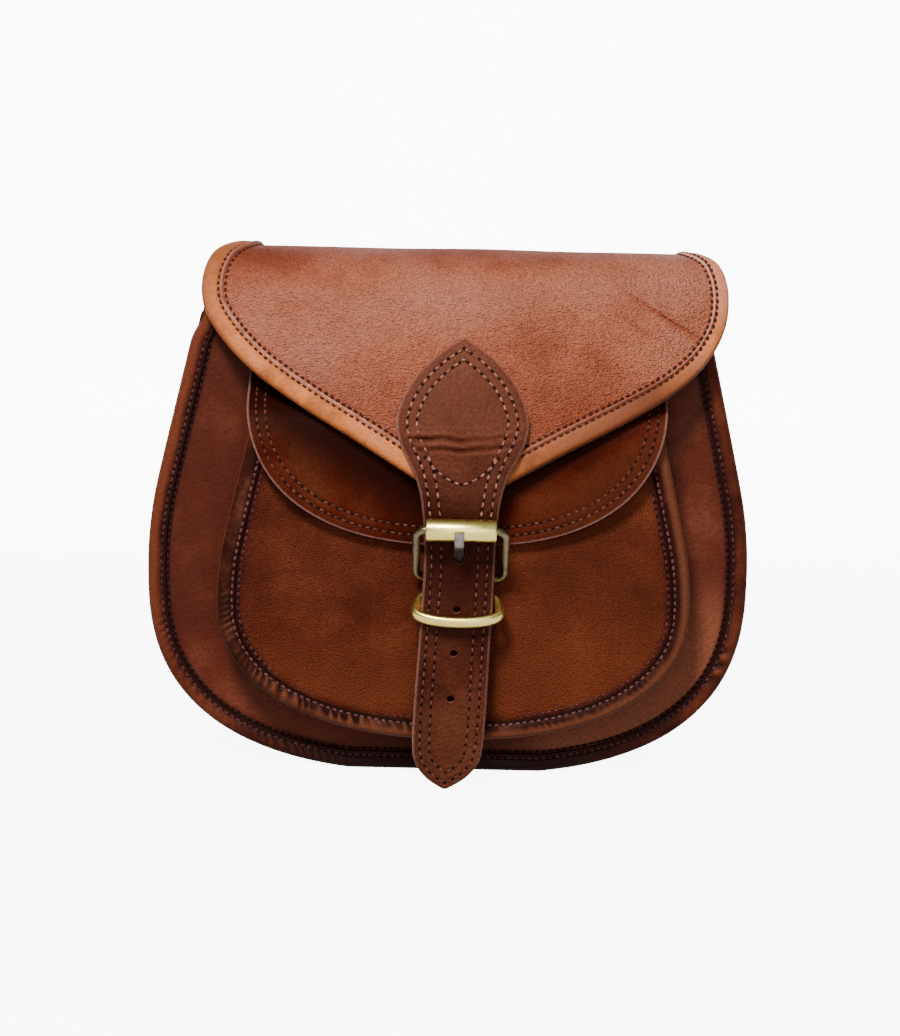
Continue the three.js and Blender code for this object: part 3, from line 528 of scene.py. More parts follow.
# Painted shade along the stitched groove
tone = -bell(rim + EDGE_INSET, SEAM, SEAM_SHADE_WIDTH)
add_piece(
    "pouch_back", points, faces, [panel_leather], "leather_body", "back_panel", rim=rim, tone=tone
)

# Gusset
# One long strip that runs down one side of the pouch, under it and up the other. Its two edges turn out
# as flanges against the panels, and its middle folds inwards.

GUSSET_WEB = 9.2  # mm from the pouch's edge to the web
GUSSET_FOLD = 5
GUSSET_EDGE = 1.8
NO_RIM = 30  # mm from an edge, where no darker rim shows


def tube(sections):
    """A closed band: sections carried along a path, with flat ends."""
    count, around = sections.shape[:2]
    faces = grid_faces(count, around, wrap=True).tolist()
    faces += [list(range(around)), list(range(count * around - 1, (count - 1) * around - 1, -1))]
    return sections.reshape(-1, 3), faces


def ribbon(line, thickness):
    """The outline of a strip seen edge on, half its thickness to each side of a line of points."""
    side = left_of(np.gradient(line, axis=0)) * thickness / 2
    return np.vstack([line + side, (line - side)[::-1]])


flange = HALF_DEPTH_BASE - PANEL - 0.3 - PANEL / 2
web_depth = np.linspace(-flange + 1.5, flange - 1.5, 17)
web_inset = GUSSET_WEB + GUSSET_FOLD * (1 - (np.abs(web_depth) / flange) ** 1.4)
turned_out = np.array(
    [(GUSSET_EDGE, flange), (5, flange), (GUSSET_WEB - 1.2, flange), (GUSSET_WEB - 0.2, flange - 0.5)]
)
gusset_line = [turned_out * [1, -1], np.column_stack([web_inset, web_depth]), turned_out[::-1]]
section = ribbon(np.vstack(gusset_line), PANEL)
places = seam(BODY, spacing=2)
flat = inset(places, section[:, 0])
depth = np.broadcast_to(section[:, 1], flat.shape[:2])
narrowing = np.clip(depth / (flange - PANEL), -1, 1) * (half_depth(flat[..., 1]) - HALF_DEPTH_BASE)
sag = undulation(places[0][:, None], depth, height=0.8, seed=11)
sag *= 1 - (depth / flange).clip(-1, 1) ** 2
sections = np.stack([flat[..., 0], depth + narrowing, flat[..., 1] + sag], -1)
add_piece("gusset_strip", *tube(sections), [panel_leather], "leather_body", "gusset", rim=NO_RIM)

# Pouch bindings
# A strip of softer leather folded over the edge of each panel and the gusset's flange, swollen where it
# rolls over and pressed down by the row of stitches. It is gathered where it goes round the lower corners.

BINDING = 1.2
BODY_ROW, BODY_INNER_ROW = 5.6, 7.9
BODY_PITCH = 2.7
BODY_EDGE = dict(
    shape=BODY,
    width=7.2,
    row=BODY_ROW,
    pitch=BODY_PITCH,
    # share of the way round where they start and stop, height, pitch and least strength
    gathers=[(0.22, 0.45, 0.6, 3.6, 0), (0.71, 0.765, 1.5, 6.5, 0.9)],
)
GATHER_SLANT = 0.35
# Painted light on the gathers' crests and painted shade in their valleys
GATHER_LIGHT_AND_SHADE = 1.9
TUCK_LENGTH = 16
ROLL = 2.2  # mm from the edge to where the roll is level

binding_leather = dyed_leather(
    "binding_leather", (92, 37, 19), (34, 8, 4), (114, 55, 32), gloss=0, cloud=60, crease=0.8, rim_width=0,
    rim_amount=0, worn_lit_rim=0.4,
)


def roll_section(width, row, top, bottom, swell):
    """A binding seen end on, from its cut edge over the roll to its other edge and back inside.

    Gives each point's distance inside the edge, its height and how far the gathers move it, and which
    of the points are on the sewn face."""
    beside = row + np.array([0.7, 0.45, 0.22, 0, -0.22, -0.45, -0.8])
    down_roll = [1.7, 1.25, 0.85, 0.5, 0.22, 0.06]
    edge = [width, width - 0.03, width - 0.25, (width + row + 0.45) / 2]
    upper = np.r_[edge, beside, np.linspace(row - 1.3, ROLL, 6), down_roll]
    bulge = swell * np.sin(math.pi * np.clip(upper / row, 0, 1)) ** 0.8
    half_wall = (top + bottom) / 2 + 0.6

    def rounded(inside):
        return np.sqrt(1 - ((ROLL - inside).clip(0) / ROLL) ** 2)

    upper_height = half_wall + (top + bulge - half_wall) * rounded(upper)
    upper_height[:2] -= BINDING, 0.25
    under = np.r_[0.06, 0.4, 1.0, 1.8, 3, 5, width, width]
    under_height = bottom + (half_wall - 1.2 - bottom) * (1 - rounded(under))
    under_height[-1] += BINDING
    inside = [2.2, 1.35, 1.25, 1.25, 1.35, 2.2]
    inside_height = [bottom + 1.2, bottom + 1.6, bottom + 2, top - 2, top - 1.6, top - 1.2]
    u = np.r_[upper, 0, 0, under, inside]
    v = np.r_[upper_height, half_wall - 0.3, half_wall - 0.9, under_height, inside_height]
    weight = np.zeros(len(u))
    weight[: len(upper)] = smoothstep(upper, 0.6, 4.2) * smoothstep(upper, row + 0.6, row - 0.8)
    return u, v, weight, slice(0, len(upper))


def row_groove(u, distance, row, pitch, depth):
    """The dip that a row of stitches presses into leather, deepest at each stitch."""
    return depth * bell(u, row, 0.45) * (0.7 + 0.3 * np.cos(2 * math.pi * distance / pitch))


def gathers_at(distance, total, gathers, seed):
    """Small rounded pleats with sharp valleys between them, uneven in length and height."""
    draw = np.random.default_rng(seed)
    knots = np.linspace(0, total, 60)
    drift = np.interp(distance, knots, np.cumsum(draw.uniform(-3, 3, len(knots))))
    strength = np.interp(distance, knots, draw.uniform(0.1, 1, len(knots)) ** 1.3)
    moved = np.zeros(distance.shape)
    share = distance / total
    for start, stop, height, pitch, least in gathers:
        window = smoothstep(share, start, start + 0.03) * (1 - smoothstep(share, stop - 0.03, stop))
        pleat = np.abs(np.cos(math.pi * (distance + drift) / pitch)) ** 2.4 - 0.4
        moved += height * window * pleat * np.maximum(strength, least)
    return moved


def bound_edge(shape, width, row, pitch, gathers, seed, face=0, side=-1, shift=0, roll_highlight=(0, 0, 0), tucked=0):
    """A binding folded over the edge of a D: its mesh, and its distance from the edge and its tone.

    Its roll carries a painted highlight at its left, bottom and right by the given tones, its gathers
    painted light on their crests and painted shade in their valleys, and its stitched groove and its foot
    near the floor painted shade. Its ends are tucked in by some mm."""
    places = seam(shape, spacing=0.5)
    distance = places[0][:, None]
    total = distance[-1, 0]
    u, v, weight, upper = roll_section(width, row, top=face + 1.5, bottom=face - 5.4, swell=0.5)
    gather = gathers_at(distance + GATHER_SLANT * u, total, gathers, seed) * weight
    height = v + gather
    height[:, upper] -= row_groove(u[upper], distance, row, pitch, depth=0.5)
    height[:, upper] += undulation(distance, u[upper], 0.12, seed, wavelength=18)
    drawn_in = 1 - smoothstep(np.minimum(distance, total - distance), 0, TUCK_LENGTH)
    points, faces = tube(on_pouch(inset(places, u + tucked * drawn_in), height, side, shift))
    left, bottom, right = roll_highlight
    roll_highlight_tone = np.interp(distance / total, (0.2, 0.3, 0.38, 0.53, 0.62), (left, 0, bottom, bottom, right))
    # A painted highlight on the outer roll, painted light and shade on the gathers, painted shade in the
    # groove
    tone = GATHER_LIGHT_AND_SHADE * gather + roll_highlight_tone * (1 - smoothstep(u, 2, 5)) - bell(u, row + SEAM - BODY_ROW, SEAM_SHADE_WIDTH)
    # Painted shade near the floor
    shaded = 1 - smoothstep(points[:, 2], 2, 20)
    tone = np.clip(tone.ravel() - shaded, -1, 1)
    return dict(points=points, faces=faces, rim=np.broadcast_to(u, height.shape).ravel(), tone=tone)


for name, side, roll_highlight, tucked in (("front", -1, (1.2, 0, 0), 3.2), ("back", 1, (0, 0, 0), 0)):
    add_piece(
        f"pouch_{name}_binding",
        **bound_edge(**BODY_EDGE, seed=21 + side, side=side, roll_highlight=roll_highlight, tucked=tucked),
        materials=[binding_leather],
        slot="leather_binding",
        replaced=f"{name}_binding",
    )

# Pouch stitches
# Two rows of waxed thread through the binding, panel and flange: one near the binding's cut edge and one
# just beyond it. Each stitch dives into a needle hole at both ends.

STITCH_HEIGHT, HOLE_HEIGHT = 0.55, 0.3


def stitch_tree():
    """Puts one small rounded piece on each point, turned along the point's row and off its face."""
    tree = bpy.data.node_groups.new("stitches", "GeometryNodeTree")
    sockets = dict(Geometry="Geometry", Length="Float", Width="Float", Height="Float", Material="Material")
    for label, kind in sockets.items():
        tree.interface.new_socket(label, in_out="INPUT", socket_type="NodeSocket" + kind)
    tree.interface.new_socket("Geometry", in_out="OUTPUT", socket_type="NodeSocketGeometry")
    given = tree.nodes.new("NodeGroupInput").outputs
    result = tree.nodes.new("NodeGroupOutput")
    size = first(tree, "ShaderNodeCombineXYZ", {0: given["Length"], 1: given["Width"], 2: given["Height"]})
    ball = first(tree, "GeometryNodeMeshUVSphere", {"Segments": 8, "Rings": 5, "Radius": 0.5})
    stitch = first(tree, "GeometryNodeTransform", {"Geometry": ball, "Scale": size})
    along, off = (
        first(tree, "GeometryNodeInputNamedAttribute", {"Name": name}, data_type="FLOAT_VECTOR")
        for name in ("along", "off_face")
    )
    axes = {"Primary Axis": along, "Secondary Axis": off}
    turned = first(tree, "FunctionNodeAxesToRotation", axes, primary_axis="X", secondary_axis="Z")
    links = {"Points": given["Geometry"], "Instance": stitch, "Rotation": turned}
    placed = first(tree, "GeometryNodeInstanceOnPoints", links)
    real = first(tree, "GeometryNodeRealizeInstances", {"Geometry": placed})
    smooth = first(tree, "GeometryNodeSetShadeSmooth", {"Geometry": real})
    painted = first(tree, "GeometryNodeSetMaterial", {"Geometry": smooth, "Material": given["Material"]})
    wire(tree, result, {"Geometry": painted})
    return tree


stitches = stitch_tree()
stitch_inputs = {
    item.name: item.identifier for item in stitches.interface.items_tree if item.in_out == "INPUT"
}


def sewn(name, places, size, material):
    """One mesh of stitches or needle holes from their middles, directions and facings."""
    middle, along, off = (np.concatenate(part) for part in zip(*places))
    mesh = bpy.data.meshes.new(name + "_points")
    mesh.from_pydata(in_frame(middle), [], [])
    for label, vectors in (("along", along), ("off_face", off)):
        carried = mesh.attributes.new(label, "FLOAT_VECTOR", "POINT")
        carried.data.foreach_set("vector", vectors.ravel().astype(np.float32))
    points = add_object(name + "_points", mesh)
    modifier = points.modifiers.new("stitches", "NODES")
    modifier.node_group = stitches
    for label, value in zip(("Length", "Width", "Height"), size):
        modifier[stitch_inputs[label]] = value * MM
    modifier[stitch_inputs["Material"]] = material
    graph = bpy.context.evaluated_depsgraph_get()
    made = bpy.data.meshes.new_from_object(points.evaluated_get(graph))
    made.name = name
    bpy.data.objects.remove(points)
    bpy.data.meshes.remove(mesh)
    fit(name, made)


def stitch_places(points, normals, pitch, seed):
    """Stitches and needle holes along a dense row of points: middles, directions and facings."""
    draw = np.random.default_rng(seed)
    line = measured(points)
    total = line[0][-1]
    count = max(2, round(total / pitch))
    ends = np.arange(count + 1) * total / count
    ends[1:-1] += draw.uniform(-0.06, 0.06, count - 1) * pitch
    middle = (ends[1:] + ends[:-1]) / 2
    off, hole_off = (unit(at_distance((line[0], normals), distance)) for distance in (middle, ends))
    along = np.diff(at_distance(line, ends), axis=0)
    along = along + np.cross(off, along) * draw.uniform(-0.09, 0.09, (count, 1))
    hole_along = np.vstack([along, along[-1:]])
    return (at_distance(line, middle), along, off), (at_distance(line, ends), hole_along, hole_off)


def sew(name, rows, pitch, thread, seed, length, width, lift, hole=None):
    """Rows of stitches, each row its points and the way they face, and the needle holes that show."""
    threads, holes = [], []
    for number, (points, normals) in enumerate(rows):
        (middle, along, off), needle = stitch_places(points, normals, pitch, seed + number)
        threads.append((middle + off * lift, along, off))
        holes.append(needle)
    sewn(name + "_stitches", threads, (length, width, STITCH_HEIGHT), thread)
    if hole:
        sewn(name + "_needle_holes", holes, (hole, hole, HOLE_HEIGHT), shaded_needle_hole)


def waxed_thread(name, colour, shade):
    """Twisted cotton thread, darkened by wax and dye in its twist."""
    thread, tree, body = new_material(name)
    twist = noise(tree, object_place(tree), 900.0, Detail=2.0)
    toned = mix_colour(tree, map_range(tree, twist, 0.35, 0.65), srgb(shade), srgb(colour))
    wire(tree, body, {"Base Color": toned, "Normal": relief_of(tree, twist, strength=0.5, distance=0.0002)})
    wire(tree, body, {"Roughness": 0.6, "Specular IOR Level": 0.12})
    return thread


maroon_thread = waxed_thread("maroon_thread", (96, 54, 56), (46, 16, 18))
black_thread = waxed_thread("black_thread", (58, 24, 24), (28, 8, 8))
# Dark discs laid at the needle holes: painted shade in the holes
shaded_needle_hole = dyed_leather(
    "shaded_needle_hole", (34, 10, 6), (20, 5, 3), (44, 16, 9), roughness=0.8, gloss=0, rim_amount=0
)


def d_row(shape, depth, out, side=-1, shift=0):
    """A row of stitches inside the edge of a D."""
    flat = inset(seam(shape, spacing=1), depth)[:, 0]
    return on_pouch(flat, out, side, shift), np.tile([0.0, side, 0.05], (len(flat), 1))


for name, side, seed in (("pouch_front", -1, 31), ("pouch_back", 1, 35)):
    row = d_row(BODY, BODY_ROW, out=1.2, side=side)
    sew(name, [row], BODY_PITCH, maroon_thread, seed, length=2.1, width=1.1, lift=0.2, hole=1.5)
    row = d_row(BODY, BODY_INNER_ROW, out=0.05, side=side)
    name += "_inner"
    sew(name, [row], BODY_PITCH, black_thread, seed + 7, length=2.1, width=1.1, lift=0.2, hole=1.5)

# Pocket
# A smaller D stands off the pouch's front on its own gusset. Its face is a softer, napped hide that domes
# out, and a dark binding, tightly gathered at the lower corners, closes its edge.

POCKET = dict(half=90, widest=69, bottom=16.6, top=138, power=2.25, lean=13, side_radius=120)
POCKET_MIDDLE = 72
POCKET_SHIFT = 2.5
POCKET_DEPTH = 16
POCKET_DOME = 4
POCKET_WEB = 7.6
POCKET_FOOT = 7
POCKET_ROW, POCKET_INNER_ROW = 6.0, 8.5
POCKET_PITCH = 2.7
POCKET_FACE = POCKET_DEPTH + PANEL
POCKET_EDGE = dict(
    shape=POCKET,
    width=7.3,
    row=POCKET_ROW,
    pitch=POCKET_PITCH,
    gathers=[(0.16, 0.5, 1.15, 3.6, 0.25), (0.56, 0.74, 0.3, 3.6, 0)],
)
# Painted light on the pocket's lower part
POCKET_LOW_LIGHT = 0.6
POCKET_LEFT, POCKET_RIGHT = -0.25, 0.2  # darker at its upper left, and painted light on its right, where the pocket flap's shadow falls
STRAP_SHADE = 0.7  # painted shadow of the strap on the pocket beside it
STRAP_SHADE_X, STRAP_SHADE_WIDE = 14, 6

pocket_leather = dyed_leather(
    "pocket_leather", (93, 37, 18), (54, 16, 7), (126, 60, 33), roughness=0.62, shine=0.08, gloss=0,
    pebble=1750, crease=0.25, relief=1.0, cloud=34, crevice=0.4, rim_width=14, rim_amount=0.45,
)
dark_binding_leather = dyed_leather(
    "dark_binding_leather", (55, 20, 12), (28, 8, 5), (118, 65, 43), roughness=0.52, shine=0.06, gloss=0,
    cloud=70, crease=0.8, rim_width=0, rim_amount=0, worn_lit_rim=0.7,
)


def pocket_lift(x, z, share):
    ripple = undulation(x, z, height=0.22, seed=9, wavelength=15) * smoothstep(1 - share, 0.02, 0.1)
    return POCKET_DOME * (1 - share**2) + undulation(x, z, height=0.45, seed=8) + ripple


points, faces, rim = pouch_panel(
    POCKET, POCKET_MIDDLE, POCKET["top"], pocket_lift, out=POCKET_FACE, shift=POCKET_SHIFT
)
x, _, z = points.T
# Darker at the upper left, painted light on the right under the pocket flap's shadow
tone = POCKET_LEFT + (POCKET_RIGHT - POCKET_LEFT) * smoothstep(x, -40, 40)
# Painted light on the lower part
tone = tone * smoothstep(z, 30, 60) + POCKET_LOW_LIGHT * (1 - smoothstep(z, 30, 80))
# Painted shade along the stitched groove
tone -= bell(rim + EDGE_INSET, POCKET_ROW + SEAM - BODY_ROW, SEAM_SHADE_WIDTH)
# Painted shadow of the strap on the pocket
tone -= STRAP_SHADE * bell(x, STRAP_SHADE_X, STRAP_SHADE_WIDE)
add_piece(
    "pocket_face", points, faces, [pocket_leather], "leather_body", "pocket_front", rim=rim, tone=tone
)

web = np.linspace(POCKET_DEPTH - 2.6, 2.6, 9)
pocket_line = np.vstack(
    [
        [(GUSSET_EDGE, POCKET_DEPTH - 1.2), (POCKET_WEB - 1, POCKET_DEPTH - 1.2)],
        np.column_stack([POCKET_WEB + 1.2 * np.sin(np.linspace(0, math.pi, 9)), web]),
        [(POCKET_WEB + 0.6, 1.4), (POCKET_WEB + 2, 1.2), (POCKET_WEB + POCKET_FOOT, 1.2)],
    ]
)
section = ribbon(pocket_line, PANEL)
flat = inset(seam(POCKET, spacing=1.6), section[:, 0])
sections = on_pouch(flat, section[:, 1], shift=POCKET_SHIFT)
add_piece("pocket_side", *tube(sections), [panel_leather], "leather_body", "pocket_gusset", rim=NO_RIM)

add_piece(
    "pocket_edge_binding",
    **bound_edge(**POCKET_EDGE, seed=44, face=POCKET_FACE, shift=POCKET_SHIFT, roll_highlight=(0, 0.8, 0.9)),
    materials=[dark_binding_leather],
    slot="leather_dark",
    replaced="pocket_binding",
)

rose_thread = waxed_thread("rose_thread", (120, 74, 71), (62, 27, 27))
row = d_row(POCKET, POCKET_ROW, out=POCKET_FACE + 1.2, shift=POCKET_SHIFT)
sew("pocket", [row], POCKET_PITCH, rose_thread, 51, length=2.1, width=1.1, lift=0.22, hole=1.5)
row = d_row(POCKET, POCKET_INNER_ROW, out=POCKET_FACE + 0.55, shift=POCKET_SHIFT)
sew("pocket_inner", [row], POCKET_PITCH, maroon_thread, 55, length=2.0, width=1.0, lift=0.2, hole=1.5)

# Pocket flap
# A single piece of stiff glazed hide sewn to the pouch above the pocket and bent down over it. Its rounded
# edge is left raw and trimmed with two rows of long stitches.

POCKET_FLAP = 2.0
POCKET_FLAP_LINE = [(1.4, 166), (5, 153), (14, 145.5), (21.6, 138.6), (24.2, 128), (24.8, 110), (24.4, 93)]
POCKET_FLAP_HALF = 79
POCKET_FLAP_STRAIGHT = 24
POCKET_FLAP_POWER = 2.45
POCKET_FLAP_SHIFT = 2.3
POCKET_FLAP_ROWS = (3.3, 6.7)
POCKET_FLAP_PITCH = 3.1
FLAP_SHADOW_TIP, FLAP_SHADOW_RISE = 104, 0.6  # where the main flap's painted shadow on it ends
FLAP_SHADOW_LEFT, FLAP_SHADOW_RIGHT = 24, 12
# painted light on the right, clear of the main flap's shadow
LIT_RIGHT = 0.45
FLAP_ROW_DIP = 0.3  # mm that a row of stitches pulls a flap's face in


def thick_sheet(outer, inner, rim, swell):
    """A sheet given as a grid on each of its faces, its cut edge rounded off between them.

    Gives the points and faces, 1 for each face that is cut edge, and the points' distance from it."""
    rows, columns = outer.shape[:2]
    count = rows * columns
    outer, inner = outer.reshape(-1, 3), inner.reshape(-1, 3)
    index = np.arange(count).reshape(rows, columns)
    edge = np.r_[index[0, :-1], index[:-1, -1], index[-1, :0:-1], index[:0:-1, 0]]
    within = np.r_[index[1, :-1], index[:-1, -2], index[-2, :0:-1], index[:0:-1, 1]]
    top, low = outer[edge], inner[edge]
    away = unit((top - outer[within]) + (low - inner[within]))
    rings = [top + (low - top) * t + away * swell * math.sin(math.pi * t) for t in (0.12, 0.35, 0.65, 0.88)]
    quads = grid_faces(rows, columns)
    size = len(edge)
    loops = [edge, *(2 * count + k * size + np.arange(size) for k in range(len(rings))), edge + count]
    sides = [
        np.column_stack([a, b, np.roll(b, -1), np.roll(a, -1)]) for a, b in zip(loops[:-1], loops[1:])
    ]
    faces = np.vstack([quads, quads[:, ::-1] + count, *sides])
    return dict(
        points=np.concatenate([outer, inner, *rings]),
        faces=faces.tolist(),
        edge_faces=np.arange(len(faces)) >= 2 * len(quads),
        rim=np.r_[rim.ravel(), rim.ravel(), np.zeros(len(rings) * size)],
    )


def grid_normals(surface):
    """Outward unit normals of a grid of points that runs down and to the right."""
    return unit(np.cross(np.gradient(surface, axis=0), np.gradient(surface, axis=1)))


def facing_of(point_at, flat, step=0.4):
    """Outward unit normals of a bent sheet at flat points."""
    x, down = flat[..., 0], flat[..., 1]
    across = point_at(x + step, down) - point_at(x - step, down)
    along = point_at(x, down + step) - point_at(x, down - step)
    return unit(np.cross(along, across))


def row_on(point_at, path, height):
    """A row of stitches on a bent sheet: its points and the way they face."""
    facing = facing_of(point_at, path)
    return point_at(path[:, 0], path[:, 1]) + facing * height, facing


def flat_inset(outline, depth):
    """A line inside an outline that runs down the left side of a pattern and up its right side."""
    return outline - left_of(np.gradient(outline, axis=0)) * depth


def spread(columns, fine, share):
    """Positions from 0 to 1 across a sheet, closer together in the outer share at each side."""
    side = np.linspace(0, share, fine)
    return np.r_[side, np.linspace(share, 1 - share, columns)[1:-1], 1 - side[::-1]]


def cut_edge(name, colour, deep, pale):
    """The raw, fibrous edge of a hide, paler than its face."""
    return dyed_leather(name, colour, deep, pale, roughness=0.62, cloud=300, rim_width=0, rim_amount=0)


glazed_leather = dyed_leather(
    "glazed_leather", (79, 23, 8), (33, 7, 2), (103, 51, 31), worn_lit_edge=(146, 102, 92), roughness=0.6, shine=0.03,
    gloss=0, relief=0.4, crease=0.3, rim_amount=0.3, worn_lit_rim=0.7,
)
pale_cut = cut_edge("pale_cut_edge", (172, 124, 104), (120, 74, 54), (196, 152, 132))

pocket_flap_line = smooth_line([(-(half_depth(z) + out), z) for out, z in POCKET_FLAP_LINE])
angle = np.linspace(0, 0.955 * math.pi / 2, 90)
rounding = 2 / POCKET_FLAP_POWER
curved = pocket_flap_line[0][-1] - POCKET_FLAP_STRAIGHT
straight = np.linspace(0, POCKET_FLAP_STRAIGHT, 20)[:-1]
down = np.r_[straight, POCKET_FLAP_STRAIGHT + curved * np.sin(angle) ** rounding]
half = POCKET_FLAP_HALF * np.r_[np.ones(len(straight)), np.cos(angle) ** rounding]
across = 2 * spread(columns=50, fine=14, share=0.14) - 1


def pocket_flap_point(x, down):
    bent = at_distance(pocket_flap_line, down)
    wrap = 0.8 * (x / POCKET_FLAP_HALF) ** 4 * smoothstep(down, 30, 50)
    return np.stack([x + POCKET_FLAP_SHIFT, bent[..., 0] + wrap, bent[..., 1]], -1)


x, down = np.broadcast_arrays(half[:, None] * across, down[:, None])
flat = np.stack([x, down], -1)
rim = rim_distance(flat, np.vstack([flat[:, 0], flat[-1], flat[::-1, -1]]))
surface = pocket_flap_point(x, down)
normal = grid_normals(surface)
detail = undulation(x, down, height=0.3, seed=15)
for row in POCKET_FLAP_ROWS:
    detail -= FLAP_ROW_DIP * bell(rim, row, 0.7)
outer = surface + normal * (POCKET_FLAP / 2 + detail)[..., None]
hide = thick_sheet(outer, surface - normal * POCKET_FLAP / 2, rim, swell=0.3)
from_middle = hide["points"][:, 0] - POCKET_FLAP_SHIFT
# The main flap's painted shadow across the top of the pocket flap
below_flap_shadow = FLAP_SHADOW_TIP + FLAP_SHADOW_RISE * np.abs(from_middle) - hide["points"][:, 2]
flap_shadow_fade = FLAP_SHADOW_LEFT + (FLAP_SHADOW_RIGHT - FLAP_SHADOW_LEFT) * smoothstep(from_middle, -5, 25)
# Painted light on its right, clear of the main flap's shadow
tone = LIT_RIGHT * smoothstep(from_middle, 5, 45) * smoothstep(below_flap_shadow, 0, 20)
tone -= 1 - smoothstep(below_flap_shadow, 0, flap_shadow_fade)
add_piece(
    "pocket_flap_hide",
    **hide,
    materials=[glazed_leather, pale_cut],
    slot="leather_dark",
    replaced="pocket_flap",
    tone=tone,
)

rust_thread = waxed_thread("rust_thread", (118, 68, 52), (60, 26, 17))
outline = evenly(measured(np.vstack([flat[:, 0], flat[::-1, -1]])), 700)
rows = []
for depth in POCKET_FLAP_ROWS:
    path = flat_inset(outline, depth)
    rows.append(row_on(pocket_flap_point, path[path[:, 1] > 10], POCKET_FLAP / 2 - 0.2))
sew("pocket_flap", rows, POCKET_FLAP_PITCH, rust_thread, 61, length=2.0, width=0.85, lift=0.1, hole=1.35)

# Main flap
# One large hide, sewn to the back near the mouth, that goes over the top and comes down in front to a
# blunt point, with a crease pressed into one corner. Its sheen is helped by painted highlights over its
# front and right; painted shade lies along its crest and in its crease, and it is darker in patches and
# towards its point.

FLAP = 2.2
FLAP_LINE = [
    (23.8, 158), (23.4, 178), (20.2, 191), (10, 198.2), (-4, 199.6), (-17, 196.2),
    (-25.4, 188), (-31.6, 176), (-39.6, 158), (-46.8, 138), (-51.4, 118), (-52.9, 104),
]
FLAP_EDGE = [
    (0, 84), (30, 85.5), (55, 89.6), (72, 97), (86, 99.9), (99, 98.4),
    (111.6, 91.3), (123, 80), (135.2, 62), (148.2, 39), (160, 18.6), (167, 6.8),
]
FLAP_TIP = 169
FLAP_SKEW = 0.033
FLAP_SHIFT = 4.4
WING_WRAP = 6
TAIL_PRESS = 1.9
CREASES = [  # across and down the pattern, length, width, depth and slant
    (76, 97, 15, 1.3, 1.1, -0.65),
    (75, 92, 14, 2.2, -0.6, -0.6),
    (64, 100, 9, 1.2, 0.4, -0.8),
]
FLAP_ROWS = (6.8, 9.3)
FLAP_PITCH = 2.65
FLAP_WAVES = 0.35, 27, 70  # height in mm, seed and length in mm
NARROW_FROM, NARROW_TO, NARROW_SHARE = 0.62, 0.78, 0.74  # along the edge, and the share of its width left
# Painted shade on the crest and in the crease, a painted highlight on the right, darker towards the point
CREST_SHADE, RIGHT_HIGHLIGHT, CREASE_SHADE, POINT_TONE = 0.45, 0.15, 1.1, 0.4
FLAP_HIGHLIGHTS_AND_DARKENING = [  # across and down the pattern, width, and how much paler as a painted highlight, or darker
    (0, 90, 32, 0.4),
    (72, 80, 22, 0.4),
    (-76, 74, 16, -0.6),
    (46, 128, 24, -0.25),
]
SHADE_TALL = 12

flap_leather = dyed_leather(
    "flap_leather", (192, 111, 83), (122, 48, 19), (204, 137, 113), shine=0.1, pebble=1000, stretch=1.7,
    relief=1.0, depth=0.0024, crease=0.05, cloud=26, blotch=0.6, speck=0.15, crevice=0.35, rim_width=10,
    rim_amount=0.15,
)


def skewed(x, down):
    return x, down + FLAP_SKEW * x * float(smoothstep(down, 78, 118))


flap_line = smooth_line(FLAP_LINE)
left = [skewed(-half, down) for down, half in FLAP_EDGE]
right = [skewed(half, down) for down, half in FLAP_EDGE[::-1]]
flap_edge = smooth_line([*left, (0, FLAP_TIP), *right])
edge_length = flap_edge[0][-1]


def crease_depth(x, down):
    depth = 0
    for crease_x, crease_down, long, wide, deep, slant in CREASES:
        beside, below = x - crease_x, down - crease_down
        along = (beside - below * slant) / math.hypot(1, slant)
        across = (beside * slant + below) / math.hypot(1, slant)
        depth = depth + deep * bell(along, 0, long) * bell(across, 0, wide)
    return depth


def flap_point(x, down):
    """The flap's flat pattern bent over the bag."""
    bent = at_distance(flap_line, down)
    wrap = WING_WRAP * smoothstep(down, 55, 90) * (np.abs(x) / 100) ** 3
    press = TAIL_PRESS * (1 - smoothstep(down, 6, 30)) * (1 - smoothstep(np.abs(x), 50, 74))
    return np.stack([x + FLAP_SHIFT, bent[..., 0] + wrap - press + crease_depth(x, down), bent[..., 1]], -1)


def flap_places(distance):
    """Places on the flap's edge: distance, flat point and the direction out of the pattern."""
    before, after = (np.clip(distance + step, 0, edge_length) for step in (-0.8, 0.8))
    along = at_distance(flap_edge, after) - at_distance(flap_edge, before)
    return distance, at_distance(flap_edge, distance), left_of(along)


def roll_share(distance):
    """How much of its full width the roll along the edge has there."""
    return 1 - (1 - NARROW_SHARE) * smoothstep(distance / edge_length, NARROW_FROM, NARROW_TO)


half_way = np.linspace(0, 0.496, 170) * edge_length
left = inset(flap_places(half_way), EDGE_INSET)[:, 0]
right = inset(flap_places(edge_length - half_way), EDGE_INSET)[:, 0]
across = spread(columns=46, fine=26, share=0.16)
flat = left[:, None] + (right - left)[:, None] * across[None, :, None]
x, down = flat[..., 0], flat[..., 1]
rim = rim_distance(flat, evenly(flap_edge, 900))
facing = facing_of(flap_point, flat)
row_depth = FLAP_ROWS[1] * roll_share(edge_length - half_way)[:, None] ** (across > 0.5)
detail = undulation(x, down, *FLAP_WAVES) - FLAP_ROW_DIP * bell(rim, row_depth, 0.55)
surface = flap_point(x, down)
outer = surface + facing * (FLAP / 2 + detail)[..., None]
hide = thick_sheet(outer, surface - facing * FLAP / 2, rim, swell=0)
